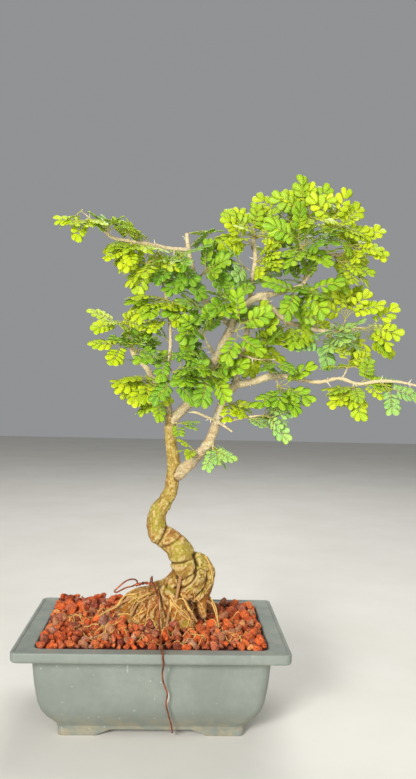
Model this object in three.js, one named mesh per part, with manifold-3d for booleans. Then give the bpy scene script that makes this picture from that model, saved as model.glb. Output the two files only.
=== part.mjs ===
// Texas ebony bonsai in a shallow training pot, in millimetres, +Z up, front towards -Y.
// The tree, its pot, the lava gravel, the drainage screens and the tie wire are separate solids.
// Everything is laid out in the pot's own frame, with the origin on the table under the pot's centre,
// and the whole group is moved at the end so that its origin lies under the middle of its box.
import * as THREE from "three";
import { mergeVertices } from "three/addons/utils/BufferGeometryUtils.js";
import Module from "manifold-3d";

const wasm = await Module();
wasm.setup();

// Clearances
const TOUCH = 0.3; // gap between two pieces that rest on each other
const SOCKET = 0.4; // play between a root or the wire and the gravel round it

// Pot
const POT_LENGTH = 255;
const POT_DEPTH = 188;
const RIM_TOP = 90.5;
const RIM_FACE = 9.5; // height of the rim's outer band
const BEAD_WIDTH = 2.7;
const BEAD_RISE = 1.3;
const SOIL_LENGTH = 217; // opening inside the rim
const BODY_LENGTH = 223; // body just under the rim
const FLOOR_UNDERSIDE = 7;
const FLOOR_TOP = 10;
const CORNER_POINTS = 4; // points on each rounded corner
const FOOT_SPAN = 177; // outside of the ring of feet, along the length
const FOOT_FLAT = 32;
const FOOT_SLOPE = 20;
const FOOT_WALL = 7;
const DRAIN_X = 45;
const DRAIN_RADIUS = 6;

// Drainage screens
const SCREEN_SIDE = 26;
const SCREEN_THICK = 1;
const SCREEN_HOLE = 7;

// Gravel
const GRAVEL_LEVEL = 90; // height of the gravel at the rim
const STONE_PITCH = 10.5; // half the distance between two stones
const STONE_RISE = 5.2; // height of a stone above the gap beside it
const GRAVEL_SEED = 11;

// Leaves
const BLADE = 0.72; // thickness of a blade
const PETIOLE = 9; // stalk of a leaf up to its pair of pinnae
const STALK = 0.7; // half the width of a leaf's stalk
const CROTCH = 2.6; // reach of the fork between the two pinnae
const PINNA = 35; // length of a pinna
const RIB = 0.75; // half the width of a pinna's rib
const TRIES = 14; // places a leaf may take before it is left out
const SEAT = 0.42; // gap between the foot of a leaf and the wood it grows from
const SEAT_STEPS = 12;
const SEAT_RETREAT = 0.05; // the foot stands off by this much more with each try

// Outline of one side of a pinna from its foot to its tip, in parts of its length: points along and away
// from the rib, each leaflet between two notches. The inner side has no room for the first leaflet.
const OUTER_SIDE = [
  [0.23, 0.19],
  [0.33, 0],
  [0.36, 0.24],
  [0.56, 0.24],
  [0.55, 0],
  [0.64, 0.24],
  [0.96, 0.17],
];
const INNER_SIDE = OUTER_SIDE.slice(1);
const RIB_END = 0.8;

// Colours
const finish = (color, roughness) =>
  new THREE.MeshStandardMaterial({ color, roughness, metalness: 0 });
const POT_PLASTIC = finish(0x969f95, 0.62);
const SCREEN_PLASTIC = finish(0x2c2f2e, 0.7);
const LAVA = finish(0xb4522f, 0.95);
const BARK = finish(0xb3945c, 0.85);
const COPPER = new THREE.MeshStandardMaterial({ color: 0x8a4a34, roughness: 0.45, metalness: 0.8 });
const LIME = finish(0xa3b52a, 0.6);
const GREEN = finish(0x6f9a2c, 0.6);
const PALE = finish(0x8fb070, 0.6);

// Random draws from a seed, the same on every run.
class Draw {
  constructor(seed) {
    this.state = (seed * 7919 + 17) >>> 0;
    this.next();
    this.next();
  }
  next() {
    this.state = (Math.imul(this.state, 1664525) + 1013904223) >>> 0;
    return this.state / 4294967296;
  }
  between(low, high) {
    return low + (high - low) * this.next();
  }
}

const vec = (x, y, z) => new THREE.Vector3(x, y, z);

// Closed geometry to solid, and back.
function solidOf(geometry) {
  const g = geometry.clone();
  for (const name of Object.keys(g.attributes)) {
    if (name !== "position") g.deleteAttribute(name);
  }
  const merged = mergeVertices(g, 1e-4);
  return new wasm.Manifold(
    new wasm.Mesh({
      numProp: 3,
      vertProperties: new Float32Array(merged.attributes.position.array),
      triVerts: new Uint32Array(merged.index.array),
    }),
  );
}

function geometryOf(solid) {
  const mesh = solid.getMesh();
  const g = new THREE.BufferGeometry();
  g.setAttribute("position", new THREE.BufferAttribute(new Float32Array(mesh.vertProperties), 3));
  g.setIndex(new THREE.BufferAttribute(new Uint32Array(mesh.triVerts), 1));
  g.computeVertexNormals();
  return g;
}

function union(solids) {
  return solids.reduce((all, one) => all.add(one));
}

// Closed skin through rings of equal point count, with a flat fan on its first and last ring.
function skin(rings) {
  const count = rings[0].length;
  const points = rings.flat();
  const index = [];
  for (let r = 0; r + 1 < rings.length; r++) {
    for (let i = 0; i < count; i++) {
      const a = r * count + i;
      const b = r * count + ((i + 1) % count);
      index.push(a, b, a + count, b, b + count, a + count);
    }
  }
  const last = (rings.length - 1) * count;
  for (let i = 1; i + 1 < count; i++) {
    index.push(0, i + 1, i, last, last + i, last + i + 1);
  }
  const g = new THREE.BufferGeometry().setFromPoints(points);
  g.setIndex(index);
  return solidOf(g);
}

// Round limb through points [x, y, z, radius], its section carried along without twist.
function limb(route, { sides = 6, steps = 1, grow = 0 } = {}) {
  const curve = new THREE.CatmullRomCurve3(route.map(([x, y, z]) => vec(x, y, z)), false, "centripetal");
  const total = (route.length - 1) * steps;
  const side = vec(0, 0, 0);
  const rings = [];
  for (let k = 0; k <= total; k++) {
    const t = k / total;
    const along = curve.getTangent(t);
    if (k === 0) side.crossVectors(along, Math.abs(along.y) < 0.9 ? vec(0, 1, 0) : vec(1, 0, 0));
    side.addScaledVector(along, -side.dot(along)).normalize();
    const other = vec(0, 0, 0).crossVectors(along, side);
    const span = Math.min(Math.floor(t * (route.length - 1)), route.length - 2);
    const within = t * (route.length - 1) - span;
    const play = grow / Math.cos(Math.PI / sides);
    const radius = THREE.MathUtils.lerp(route[span][3], route[span + 1][3], within) + play;
    const end = k === total ? 1 : k === 0 ? -1 : 0;
    const centre = curve.getPoint(t).addScaledVector(along, end * grow);
    rings.push(
      Array.from({ length: sides }, (_, i) => {
        const angle = (2 * Math.PI * i) / sides;
        return centre
          .clone()
          .addScaledVector(side, radius * Math.cos(angle))
          .addScaledVector(other, radius * Math.sin(angle));
      }),
    );
  }
  return skin(rings);
}

// Rounded rectangle at height z, as a ring of points that runs anticlockwise seen from above.
function roundedRing(halfLength, halfDepth, radius, z) {
  const ring = [];
  const corners = [
    [1, 1, 0],
    [-1, 1, 1],
    [-1, -1, 2],
    [1, -1, 3],
  ];
  for (const [sx, sy, quarter] of corners) {
    for (let i = 0; i < CORNER_POINTS; i++) {
      const angle = ((quarter + i / (CORNER_POINTS - 1)) * Math.PI) / 2;
      ring.push(
        vec(
          sx * (halfLength - radius) + radius * Math.cos(angle),
          sy * (halfDepth - radius) + radius * Math.sin(angle),
          z,
        ),
      );
    }
  }
  return ring;
}

// Pot ring: the depth is always shorter than the length by the same amount.
const potRing = (half, radius, z) =>
  roundedRing(half, half - (POT_LENGTH - POT_DEPTH) / 2, radius, z);

const HALF = POT_LENGTH / 2;
const SOIL_HALF = SOIL_LENGTH / 2;
const BODY_HALF = BODY_LENGTH / 2;
const LIP = RIM_TOP - BEAD_RISE;

// Inner wall from the floor up, as [half length, corner radius, height].
const INNER_WALL = [
  [87, 12, FLOOR_TOP],
  [95.5, 13, 17.5],
  [101, 12, 27.5],
  [104, 11, 38],
  [106.8, 10, 60],
  [SOIL_HALF, 9, LIP - 1.4],
];

function potSolid() {
  const outside = [
    [90.5, 14, FLOOR_UNDERSIDE],
    [91.5, 14, 11],
    [93.2, 14, 12.5],
    [99.3, 14, 19.6],
    [104.2, 13, 27.5],
    [106.6, 12, 36],
    [BODY_HALF - 2.2, 11, 54],
    [BODY_HALF, 10, RIM_TOP - RIM_FACE],
    [HALF - 1.6, 6, RIM_TOP - RIM_FACE],
    [HALF, 6.5, RIM_TOP - RIM_FACE + 1.6],
    [HALF, 6.5, RIM_TOP - 1.8],
    [HALF - 1, 6, RIM_TOP],
    [HALF - BEAD_WIDTH, 5, RIM_TOP],
    [HALF - BEAD_WIDTH - 1, 4.5, LIP],
    [SOIL_HALF + 1.4, 9, LIP],
  ];
  const rings = [...outside, ...[...INNER_WALL].reverse()];
  let pot = skin(rings.map(([half, radius, z]) => potRing(half, radius, z)));
  for (const leg of feet()) pot = pot.add(leg);
  for (const side of [-1, 1]) {
    const drill = new THREE.CylinderGeometry(DRAIN_RADIUS, DRAIN_RADIUS, 14, 16);
    drill.rotateX(Math.PI / 2).translate(side * DRAIN_X, 0, FLOOR_TOP);
    pot = pot.subtract(solidOf(drill));
  }
  return pot;
}

// One leg of a foot: flat on the table for its first stretch, then sweeping up to the pot's underside.
function legProfile(flat, slope) {
  const top = FLOOR_UNDERSIDE + 1.2;
  const shape = new THREE.Shape();
  shape.moveTo(0, 0);
  shape.lineTo(flat, 0);
  shape.quadraticCurveTo(flat + slope * 0.35, 0.4, flat + slope * 0.55, 3.4);
  shape.quadraticCurveTo(flat + slope * 0.75, 6.2, flat + slope, top - 1);
  shape.lineTo(flat + slope, top);
  shape.lineTo(0, top);
  return new THREE.ExtrudeGeometry(shape, { depth: FOOT_WALL, bevelEnabled: false, curveSegments: 2 });
}

// Four L-shaped feet, each a leg along the pot's length and a shorter one along its depth.
function feet() {
  const halfX = FOOT_SPAN / 2;
  const halfY = halfX - (POT_LENGTH - POT_DEPTH) / 2;
  const legs = [];
  for (const sx of [-1, 1]) {
    for (const sy of [-1, 1]) {
      const long = legProfile(FOOT_FLAT, FOOT_SLOPE);
      long.rotateX(Math.PI / 2);
      if (sx > 0) long.rotateZ(Math.PI).translate(0, -FOOT_WALL, 0);
      long.translate(sx * halfX, sy < 0 ? FOOT_WALL - halfY : halfY, 0);
      const short = legProfile(FOOT_FLAT * 0.62, FOOT_SLOPE * 0.7);
      short.rotateX(Math.PI / 2).rotateZ(Math.PI / 2);
      if (sy > 0) short.rotateZ(Math.PI).translate(FOOT_WALL, 0, 0);
      short.translate(sx < 0 ? -halfX : halfX - FOOT_WALL, sy * halfY, 0);
      legs.push(solidOf(long), solidOf(short));
    }
  }
  return legs;
}

// Square plastic mesh over a drain hole, with four large openings.
function screenSolid(centreX) {
  const box = (side, thick, x, y) => {
    const g = new THREE.BoxGeometry(side, side, thick);
    return solidOf(g.translate(centreX + x, y, FLOOR_TOP + TOUCH + SCREEN_THICK / 2));
  };
  const away = SCREEN_SIDE / 4;
  let plate = box(SCREEN_SIDE, SCREEN_THICK, 0, 0);
  for (const x of [-away, away]) {
    for (const y of [-away, away]) plate = plate.subtract(box(SCREEN_HOLE, 3 * SCREEN_THICK, x, y));
  }
  return plate;
}

// Trunk and limbs, each a route of [x, y, z, radius] from its foot to its tip.
const TRUNK = [
  [30, -3, 133, 6.5],
  [31, -3, 139, 10.5],
  [31, -3, 147, 12.5],
  [28, -2, 155, 12],
  [25, -1, 163, 13],
  [20, 0, 171, 12.5],
  [12, 1, 176, 11.5],
  [3, 2, 182, 11.5],
  [-1, 2, 191, 10],
  [0, 1, 202, 9],
  [6, 1, 212, 8],
  [12, 0, 222, 7.5],
  [15, 0, 237, 7],
  [16, 0, 255, 6.5],
  [12, 0, 277, 6],
  [11, 0, 300, 5.5],
];
const LIMBS = {
  middle: [
    [11, 0, 295, 5.5],
    [22, -1, 307, 5],
    [36, -3, 321, 5],
    [46, -4, 331, 5],
    [53, -6, 355, 4.5],
    [62, -8, 372, 5],
    [69, -9, 389, 4.5],
    [76, -9, 406, 4],
    [86, -8, 417, 4],
    [101, -6, 425, 4],
    [116, -2, 428, 2.6],
    [131, 4, 433, 2.4],
  ],
  middle_right: [
    [101, -6, 424, 3.5],
    [107, -6, 418, 3],
    [119, -2, 407, 2.8],
    [129, 2, 400, 2.8],
    [144, 6, 397, 2.8],
    [169, 10, 392, 2.3],
    [187, 14, 393, 2],
    [209, 18, 397, 1.7],
  ],
  middle_top: [
    [131, 4, 433, 2.4],
    [145, 10, 440, 2.4],
    [149, 18, 454, 2.4],
    [147, 24, 466, 2.8],
    [138, 30, 478, 2.5],
    [128, 36, 491, 1.8],
  ],
  top_right: [
    [145, 10, 440, 2],
    [157, 16, 458, 2],
    [166, 20, 470, 2.3],
    [186, 26, 474, 1.8],
  ],
  right: [
    [16, 0, 239, 6],
    [28, -5, 250, 6],
    [40, -10, 263, 5.4],
    [51, -14, 278, 5],
    [58, -19, 300, 4.5],
    [62, -21, 315, 4.2],
    [69, -23, 328, 4.2],
    [78, -24, 337, 4],
  ],
  right_up: [
    [75, -24, 333, 3.6],
    [76, -22, 345, 3.5],
    [80, -16, 360, 3],
    [86, -4, 380, 3],
    [89, 8, 404, 2.8],
    [91, 14, 427, 2.5],
    [93, 18, 447, 2.3],
    [96, 21, 464, 2.5],
    [94, 26, 489, 2],
  ],
  right_out: [
    [76, -24, 335, 4],
    [92, -27, 338, 3.6],
    [107, -31, 343, 3.5],
    [121, -34, 344, 2.5],
    [137, -38, 341, 2.1],
    [154, -42, 339, 2],
    [174, -46, 343, 2],
    [191, -50, 338, 1.9],
    [209, -54, 341, 1.8],
    [228, -57, 341, 1.6],
    [248, -60, 337, 1.3],
  ],
  left: [
    [11, 0, 297, 4.5],
    [8, 4, 313, 4],
    [1, 9, 327, 3.5],
    [-8, 15, 340, 3.3],
    [-18, 22, 354, 3],
    [-28, 28, 363, 2.8],
    [-33, 34, 375, 2.3],
    [-40, 42, 397, 1.7],
  ],
  left_inner: [
    [5, 6, 323, 2.5],
    [7, -2, 338, 2.4],
    [8, -8, 352, 2.1],
    [10, -6, 373, 1.9],
    [8, 0, 401, 1.8],
    [4, 4, 423, 1.7],
    [-3, 6, 446, 1.3],
  ],
  left_top: [
    [71, -9, 393, 3],
    [61, -3, 402, 3],
    [51, 4, 411, 2.8],
    [42, 10, 424, 2.8],
    [35, 16, 442, 2.8],
    [29, 20, 461, 2.6],
    [26, 22, 475, 2.5],
    [24, 24, 491, 2],
  ],
  far_left: [
    [27, 22, 474, 2.4],
    [9, 18, 474, 2.1],
    [-11, 10, 476, 2.2],
    [-34, -2, 477, 2],
    [-51, -10, 479, 1.8],
    [-59, -16, 485, 1.5],
    [-72, -22, 495, 1.2],
    [-80, -26, 501, 0.7],
  ],
  spiny_left: [
    [58, -19, 298, 2],
    [46, -30, 303, 1.6],
    [36, -36, 307, 1.5],
    [29, -38, 307, 0.8],
  ],
  spiny_right: [
    [58, -20, 298, 2],
    [66, -34, 293, 1.5],
    [72, -38, 289, 1.2],
  ],
  bare_right: [
    [64, -8, 369, 2],
    [79, -26, 365, 1.5],
    [94, -34, 360, 1.4],
    [112, -40, 360, 0.8],
  ],
  bare_left: [
    [55, -6, 363, 2],
    [48, -20, 372, 1.7],
    [43, -28, 381, 1],
  ],
  low_right: [
    [61, -21, 313, 1.8],
    [66, -30, 300, 1.7],
    [83, -38, 303, 1.5],
    [100, -44, 306, 1.1],
  ],
};
const TWIG_RADIUS = 1.3;
const SHORTEST_TWIG = 9; // a leaf nearer to its limb stands on it without a twig
const LIMB_SIDES = { middle: 7, right: 7, left: 6, left_top: 5, right_up: 5, right_out: 5 };
const ROOT_SIDES = {
  core: 8,
  tuber: 7,
  right_lobe: 7,
  middle_lobe: 7,
  back_right: 5,
  back_middle: 5,
  back_left: 5,
};

// Fused root base: thick roots that spread from under the trunk into the gravel.
const ROOTS = {
  core: [
    [22, 8, 130, 11.5],
    [16, 8, 115, 21.5],
    [13, 6, 96, 27.5],
  ],
  right_lobe: [
    [35, 4, 157, 7.5],
    [44, 3, 153, 9],
    [50, 1, 145, 9.5],
    [51, -1, 134, 8.5],
    [48, -4, 122, 7.5],
    [47, -7, 113, 5.5],
    [49, -9, 101, 3.5],
  ],
  middle_lobe: [
    [49, -2, 142, 6],
    [43, -7, 138, 9.5],
    [35, -11, 132, 10.5],
    [30, -13, 124, 7.5],
  ],
  left_ridge: [
    [23, -2, 143, 6.5],
    [17, -4, 133, 9],
    [14, -8, 125, 8.5],
    [16, -10, 118, 5],
  ],
  tuber: [
    [9, -9, 127, 7],
    [16, -13, 118, 10.5],
    [24, -16, 108, 12],
    [31, -18, 99, 11.5],
    [34, -18, 89, 8],
  ],
  left_shoulder: [
    [13, 0, 123, 9.5],
    [0, 0, 118, 10.5],
    [-12, -2, 117, 11],
    [-22, -4, 115, 9.5],
    [-30, -6, 112, 7],
    [-37, -8, 107, 3.5],
  ],
  left_front: [
    [7, -8, 117, 9.5],
    [-3, -11, 111, 10.5],
    [-12, -13, 107, 9.5],
    [-19, -14, 102, 6.5],
    [-25, -14, 97, 3],
  ],
  left_middle: [
    [3, -12, 112, 9],
    [-3, -15, 103, 9],
    [-8, -16, 94, 6],
  ],
  front_middle: [
    [11, -11, 117, 8.5],
    [8, -15, 107, 10],
    [7, -17, 98, 9.5],
    [6, -17, 88, 6.5],
  ],
  back_right: [
    [31, 8, 136, 10.5],
    [40, 20, 120, 10.5],
    [51, 32, 104, 8.5],
    [60, 42, 94, 5],
  ],
  back_middle: [
    [23, 10, 130, 10.5],
    [19, 24, 114, 11.5],
    [13, 36, 100, 9.5],
    [9, 46, 91, 5],
  ],
  back_left: [
    [11, 10, 126, 9],
    [-2, 22, 115, 10.5],
    [-14, 32, 103, 8.5],
    [-25, 42, 94, 5],
  ],
};
const FINE_ROOTS = [
  [
    [25, -13, 141, 1.8],
    [23, -20, 131, 1.6],
    [21, -23, 120, 1.5],
  ],
  [
    [18, -20, 121, 1.3],
    [14, -28, 108, 1.2],
    [12, -31, 92, 1.1],
  ],
  [
    [27, -15, 127, 1.4],
    [34, -28, 114, 1.3],
    [42, -30, 102, 1.1],
  ],
  [
    [-18, -10, 119, 1.5],
    [-29, -14, 117, 1.4],
    [-42, -20, 111, 1.3],
    [-53, -26, 106, 1.1],
  ],
  [
    [-6, -13, 120, 1.4],
    [-16, -20, 117, 1.3],
    [-23, -24, 105, 1.2],
  ],
  [
    [50, -6, 117, 1.5],
    [59, -14, 113, 1.4],
    [64, -24, 96, 1.2],
  ],
];

// Sprays: foot of the twig on its limb, end of the twig, where the spray reaches, number of leaves,
// lean of the leaves' faces from straight up towards the front in degrees, size, colour.
const SPRAYS = [
  [[-70, -21, 493], [-72, -22, 493], [-76, -26, 491], 1, 50, 0.8, LIME],
  [[-55, -13, 482], [-55, -14, 485], [-59, -20, 493], 1, 60, 0.6, GREEN],
  [[-13, 9, 476], [-15, 6, 474], [-24, -6, 469], 2, 58, 1, LIME],
  [[-32, -1, 476], [-33, -3, 474], [-44, -14, 464], 1, 50, 0.8, LIME],
  [[-3, 13, 474], [-7, 0, 461], [-15, -20, 443], 2, 60, 1, LIME],
  [[11, 18, 473], [11, 4, 461], [8, -16, 445], 1, 60, 1, GREEN],
  [[3, 16, 473], [-1, 32, 475], [-8, 52, 478], 1, -35, 1, LIME],
  [[31, 18, 455], [28, 4, 447], [22, -14, 434], 1, 60, 0.95, GREEN],
  [[4, 4, 421], [3, 2, 420], [-11, -12, 411], 1, 45, 0.95, LIME],
  [[-40, 42, 396], [-42, 40, 397], [-50, 36, 398], 1, 45, 0.9, LIME],
  [[-34, 34, 376], [-37, 31, 375], [-47, 22, 372], 1, 45, 1, LIME],
  [[-28, 28, 364], [-26, 26, 367], [-18, 18, 371], 1, 60, 0.75, GREEN],
  [[-9, 15, 341], [-11, 11, 339], [-22, -6, 327], 2, 65, 0.95, LIME],
  [[3, 8, 324], [1, 4, 321], [-3, -8, 311], 1, 75, 0.75, LIME],
  [[-15, 20, 350], [-16, 36, 354], [-19, 56, 359], 1, -40, 0.95, GREEN],
  [[10, -8, 366], [8, -10, 364], [-2, -22, 356], 1, 65, 0.9, GREEN],
  [[8, -8, 351], [14, -20, 346], [22, -34, 341], 2, 65, 0.95, GREEN],
  [[13, -3, 294], [18, -8, 295], [27, -18, 294], 1, 65, 0.65, GREEN],
  [[41, -11, 264], [38, -16, 268], [31, -24, 270], 1, 60, 0.55, LIME],
  [[54, -16, 275], [54, -20, 270], [55, -28, 262], 1, 80, 0.7, PALE],
  [[64, -23, 321], [67, -28, 320], [77, -42, 316], 1, 65, 0.85, LIME],
  [[100, -44, 306], [102, -45, 305], [109, -50, 302], 1, 80, 0.85, PALE],
  [[43, -28, 381], [41, -29, 380], [34, -38, 389], 1, 50, 0.75, GREEN],
  [[53, -7, 355], [53, -24, 348], [49, -40, 341], 2, 65, 1, GREEN],
  [[51, 4, 411], [45, -12, 404], [37, -28, 395], 2, 60, 1, GREEN],
  [[49, 6, 415], [46, 24, 420], [40, 50, 429], 1, -35, 1, GREEN],
  [[35, 16, 442], [40, 6, 446], [50, -6, 450], 1, 60, 0.9, GREEN],
  [[69, -9, 389], [74, -28, 388], [82, -48, 389], 2, 65, 1, GREEN],
  [[76, -9, 406], [70, -20, 415], [61, -32, 425], 2, 65, 1, GREEN],
  [[86, -4, 380], [89, -7, 381], [105, -20, 384], 2, 65, 1, LIME],
  [[89, 8, 404], [97, 28, 407], [107, 50, 412], 1, -35, 1, GREEN],
  [[94, 19, 452], [86, 12, 455], [75, 0, 457], 1, 65, 0.9, PALE],
  [[96, 21, 464], [98, 18, 463], [106, 8, 459], 1, 70, 0.7, LIME],
  [[94, 25, 483], [90, 24, 484], [69, 14, 488], 1, 60, 0.95, LIME],
  [[94, 26, 488], [92, 27, 491], [80, 30, 510], 2, 65, 0.95, LIME],
  [[94, 26, 487], [96, 25, 489], [106, 18, 500], 1, 65, 0.9, LIME],
  [[94, 24, 476], [94, 42, 483], [94, 66, 494], 1, -30, 1, LIME],
  [[128, 36, 490], [124, 36, 507], [119, 36, 523], 1, 70, 0.95, LIME],
  [[144, 27, 472], [143, 12, 478], [139, -4, 483], 2, 75, 1.1, GREEN],
  [[147, 24, 465], [150, 22, 511], [155, 20, 529], 2, 75, 1, LIME],
  [[168, 21, 470], [176, 18, 498], [183, 12, 512], 2, 70, 1, LIME],
  [[186, 26, 474], [196, 24, 483], [208, 20, 488], 1, 65, 0.95, LIME],
  [[179, 24, 472], [184, 14, 465], [190, 2, 457], 1, 65, 0.9, LIME],
  [[172, 22, 471], [183, 42, 478], [196, 66, 488], 1, -30, 1, LIME],
  [[145, 11, 441], [142, -6, 432], [137, -26, 421], 2, 65, 1, GREEN],
  [[129, 2, 400], [128, -1, 397], [120, -16, 385], 1, 65, 0.9, LIME],
  [[169, 10, 392], [169, 0, 387], [172, -14, 380], 2, 65, 1, PALE],
  [[187, 14, 393], [190, 12, 404], [192, 6, 420], 2, 65, 0.95, LIME],
  [[208, 18, 397], [211, 17, 396], [218, 12, 392], 2, 60, 1, LIME],
  [[114, -32, 343], [115, -40, 335], [123, -52, 329], 2, 60, 0.95, GREEN],
  [[176, -46, 343], [182, -42, 353], [182, -34, 363], 1, 55, 0.9, LIME],
  [[189, -50, 338], [189, -52, 335], [183, -60, 328], 1, 65, 0.85, LIME],
  [[211, -54, 341], [213, -56, 339], [218, -60, 335], 1, 65, 0.85, PALE],
  [[246, -60, 337], [249, -60, 337], [258, -60, 336], 2, 55, 0.85, LIME],
];

// Pairs of short spines stand at the nodes of these limbs.
const SPINED = ["middle", "right", "right_out", "left", "spiny_left", "spiny_right"];
const SPINE_SPACING = 70;
const SPINE_LENGTH = 5;
const SPINE_RADIUS = 0.8;

function spines() {
  const draw = new Draw(5);
  const made = [];
  for (const name of SPINED) {
    const route = LIMBS[name];
    const curve = new THREE.CatmullRomCurve3(route.map(([x, y, z]) => vec(x, y, z)), false, "centripetal");
    const count = Math.max(1, Math.round(curve.getLength() / SPINE_SPACING));
    for (let k = 1; k <= count; k++) {
      const t = (k - 0.4) / (count + 0.2);
      const along = curve.getTangent(t);
      const span = Math.min(Math.floor(t * (route.length - 1)), route.length - 2);
      const [from, to] = [vec(...route[span]), vec(...route[span + 1])];
      const foot = from.lerp(to, t * (route.length - 1) - span);
      const radius = route[span][3];
      const turn = draw.between(0, Math.PI);
      const side = vec(0, 0, 0).crossVectors(along, vec(0.2, 1, 0.1)).normalize().applyAxisAngle(along, turn);
      for (const way of [-1, 1]) {
        const reach = side.clone().multiplyScalar(way).addScaledVector(along, 0.5).normalize();
        const tip = foot.clone().addScaledVector(reach, radius + SPINE_LENGTH);
        made.push(
          limb(
            [
              [foot.x, foot.y, foot.z, SPINE_RADIUS],
              [tip.x, tip.y, tip.z, 0.15],
            ],
            { sides: 3 },
          ),
        );
      }
    }
  }
  return made;
}

// Root base, grown by a clearance where it is used to hollow the gravel.
function rootSolids(grow) {
  return [
    ...Object.entries(ROOTS).map(([name, route]) => limb(route, { sides: ROOT_SIDES[name] ?? 6, grow })),
    ...FINE_ROOTS.map((route) => limb(route, { sides: 3, grow })),
  ];
}

function woodSolid() {
  const parts = [limb(TRUNK, { sides: 11 }), ...rootSolids(0)];
  for (const [name, route] of Object.entries(LIMBS)) {
    parts.push(limb(route, { sides: LIMB_SIDES[name] ?? 4 }));
  }
  for (const [foot, tip] of SPRAYS) {
    if (vec(...foot).distanceTo(vec(...tip)) < SHORTEST_TWIG) continue;
    parts.push(limb([[...foot, TWIG_RADIUS], [...tip, 0.7 * TWIG_RADIUS]], { sides: 3 }));
  }
  return union([...parts, ...spines()]);
}

// Height of the gravel before its stones: level at the rim, banked up to the roots and to the back left.
function gravelLevel(x, y) {
  const roots = 7 * Math.exp(-((x / 62) ** 2) - ((y - 6) / 42) ** 2);
  const backLeft = 4 * THREE.MathUtils.smoothstep(y, -40, 70) * THREE.MathUtils.smoothstep(-x, -70, 90);
  return GRAVEL_LEVEL + roots + backLeft;
}

// Block of gravel whose top is a relief of stones: a grid of peaks with lower gaps between them.
function gravelSolid(wire) {
  const draw = new Draw(GRAVEL_SEED);
  const across = 2 * Math.ceil(SOIL_LENGTH / STONE_PITCH / 2) + 2;
  const deep = 2 * Math.ceil((SOIL_LENGTH - POT_LENGTH + POT_DEPTH) / STONE_PITCH / 2) + 2;
  const top = new THREE.PlaneGeometry(across * STONE_PITCH, deep * STONE_PITCH, across, deep);
  const at = top.attributes.position;
  const rows = [];
  for (let j = 0; j <= deep; j++) {
    const row = [];
    for (let i = 0; i <= across; i++) {
      const k = j * (across + 1) + i;
      const shift = (j >> 1) % 2 ? 0.5 : 0;
      const x = at.getX(k) + draw.between(-0.3, 0.3) * STONE_PITCH + shift * STONE_PITCH;
      const y = at.getY(k) + draw.between(-0.3, 0.3) * STONE_PITCH;
      const peak = i % 2 === 0 && j % 2 === 0;
      const rise = peak ? STONE_RISE * draw.between(0.6, 1.15) : draw.between(-0.2, 0.28) * STONE_RISE;
      row.push(vec(x, y, gravelLevel(x, y) + rise));
    }
    rows.push(row);
  }
  const pieces = rows.flat();
  const base = pieces.length;
  const floor = FLOOR_TOP + TOUCH;
  const points = [...pieces, ...pieces.map((p) => vec(p.x, p.y, floor - 5))];
  const index = [];
  const w = across + 1;
  for (let j = 0; j < deep; j++) {
    for (let i = 0; i < across; i++) {
      const a = j * w + i;
      const b = a + 1;
      const c = a + w;
      const d = c + 1;
      index.push(a, c, b, b, c, d);
      index.push(base + a, base + b, base + c, base + b, base + d, base + c);
    }
  }
  const wall = (a, b) => index.push(a, b, base + a, b, base + b, base + a);
  for (let i = 0; i < across; i++) {
    wall(i, i + 1);
    wall(deep * w + i + 1, deep * w + i);
  }
  for (let j = 0; j < deep; j++) {
    wall((j + 1) * w, j * w);
    wall(j * w + across, (j + 1) * w + across);
  }
  const relief = solidOf(new THREE.BufferGeometry().setFromPoints(points).setIndex(index));
  const inside = INNER_WALL.map(([half, radius, z]) => potRing(half - TOUCH, radius, z + TOUCH));
  const rise = potRing(SOIL_HALF - TOUCH, 9, RIM_TOP + 30);
  let gravel = relief.intersect(skin([...inside, rise]));
  for (const side of [-1, 1]) {
    const room = new THREE.BoxGeometry(
      SCREEN_SIDE + 2 * TOUCH,
      SCREEN_SIDE + 2 * TOUCH,
      2 * (SCREEN_THICK + TOUCH),
    );
    room.translate(side * DRAIN_X, 0, FLOOR_TOP + TOUCH);
    gravel = gravel.subtract(solidOf(room));
  }
  gravel = gravel.subtract(union(rootSolids(SOCKET))).subtract(wire);
  return gravel.decompose().sort((a, b) => b.volume() - a.volume())[0];
}

// Tie wire: a hooked tail beside the roots, down their front, round the rim and under the pot, up the back.
const WIRE_RADIUS = 0.8;
const WIRE = [
  [-23, -17, 131],
  [-33, -22, 130],
  [-39, -24, 128],
  [-31, -20, 134],
  [-23, -15, 137],
  [-16, -12, 133],
  [-6, -15, 133],
  [1, -19, 134],
  [3, -27, 124],
  [4, -31, 114],
  [5, -34, 104],
  [6, -42, 97],
  [7, -56, 95],
  [8, -72, 93],
  [9, -84, 91],
  [9, -91, 92],
  [10, -94.6, 91.6],
  [10, -95.6, 88],
  [11, -95.4, 82],
  [11, -94, 79],
  [12, -90, 74],
  [13, -85, 62],
  [14, -82, 50],
  [15, -80, 40],
  [17, -77, 28],
  [19, -70, 16],
  [20, -61, 6],
  [20, -48, 5.6],
  [16, -16, 5.6],
  [12, 16, 5.6],
  [8, 48, 5.6],
  [7, 61, 6],
  [6, 70, 16],
  [6, 77, 28],
  [5, 80, 40],
  [5, 82, 50],
  [4, 86, 64],
  [4, 93.6, 78],
  [4, 95.6, 82],
  [4, 95.6, 88],
  [4, 94.6, 91.6],
  [4, 91, 92],
  [3, 84, 91.2],
  [2, 74, 93],
  [0, 60, 99],
  [-2, 47, 104],
  [-4, 36, 119],
  [-4, 22, 131],
  [-4, 8, 136],
  [-5, -6, 135],
  [-7, -11, 136],
];

function wireSolid(grow = 0) {
  return limb(WIRE.map((p) => [...p, WIRE_RADIUS]), { sides: 4, grow });
}

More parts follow.
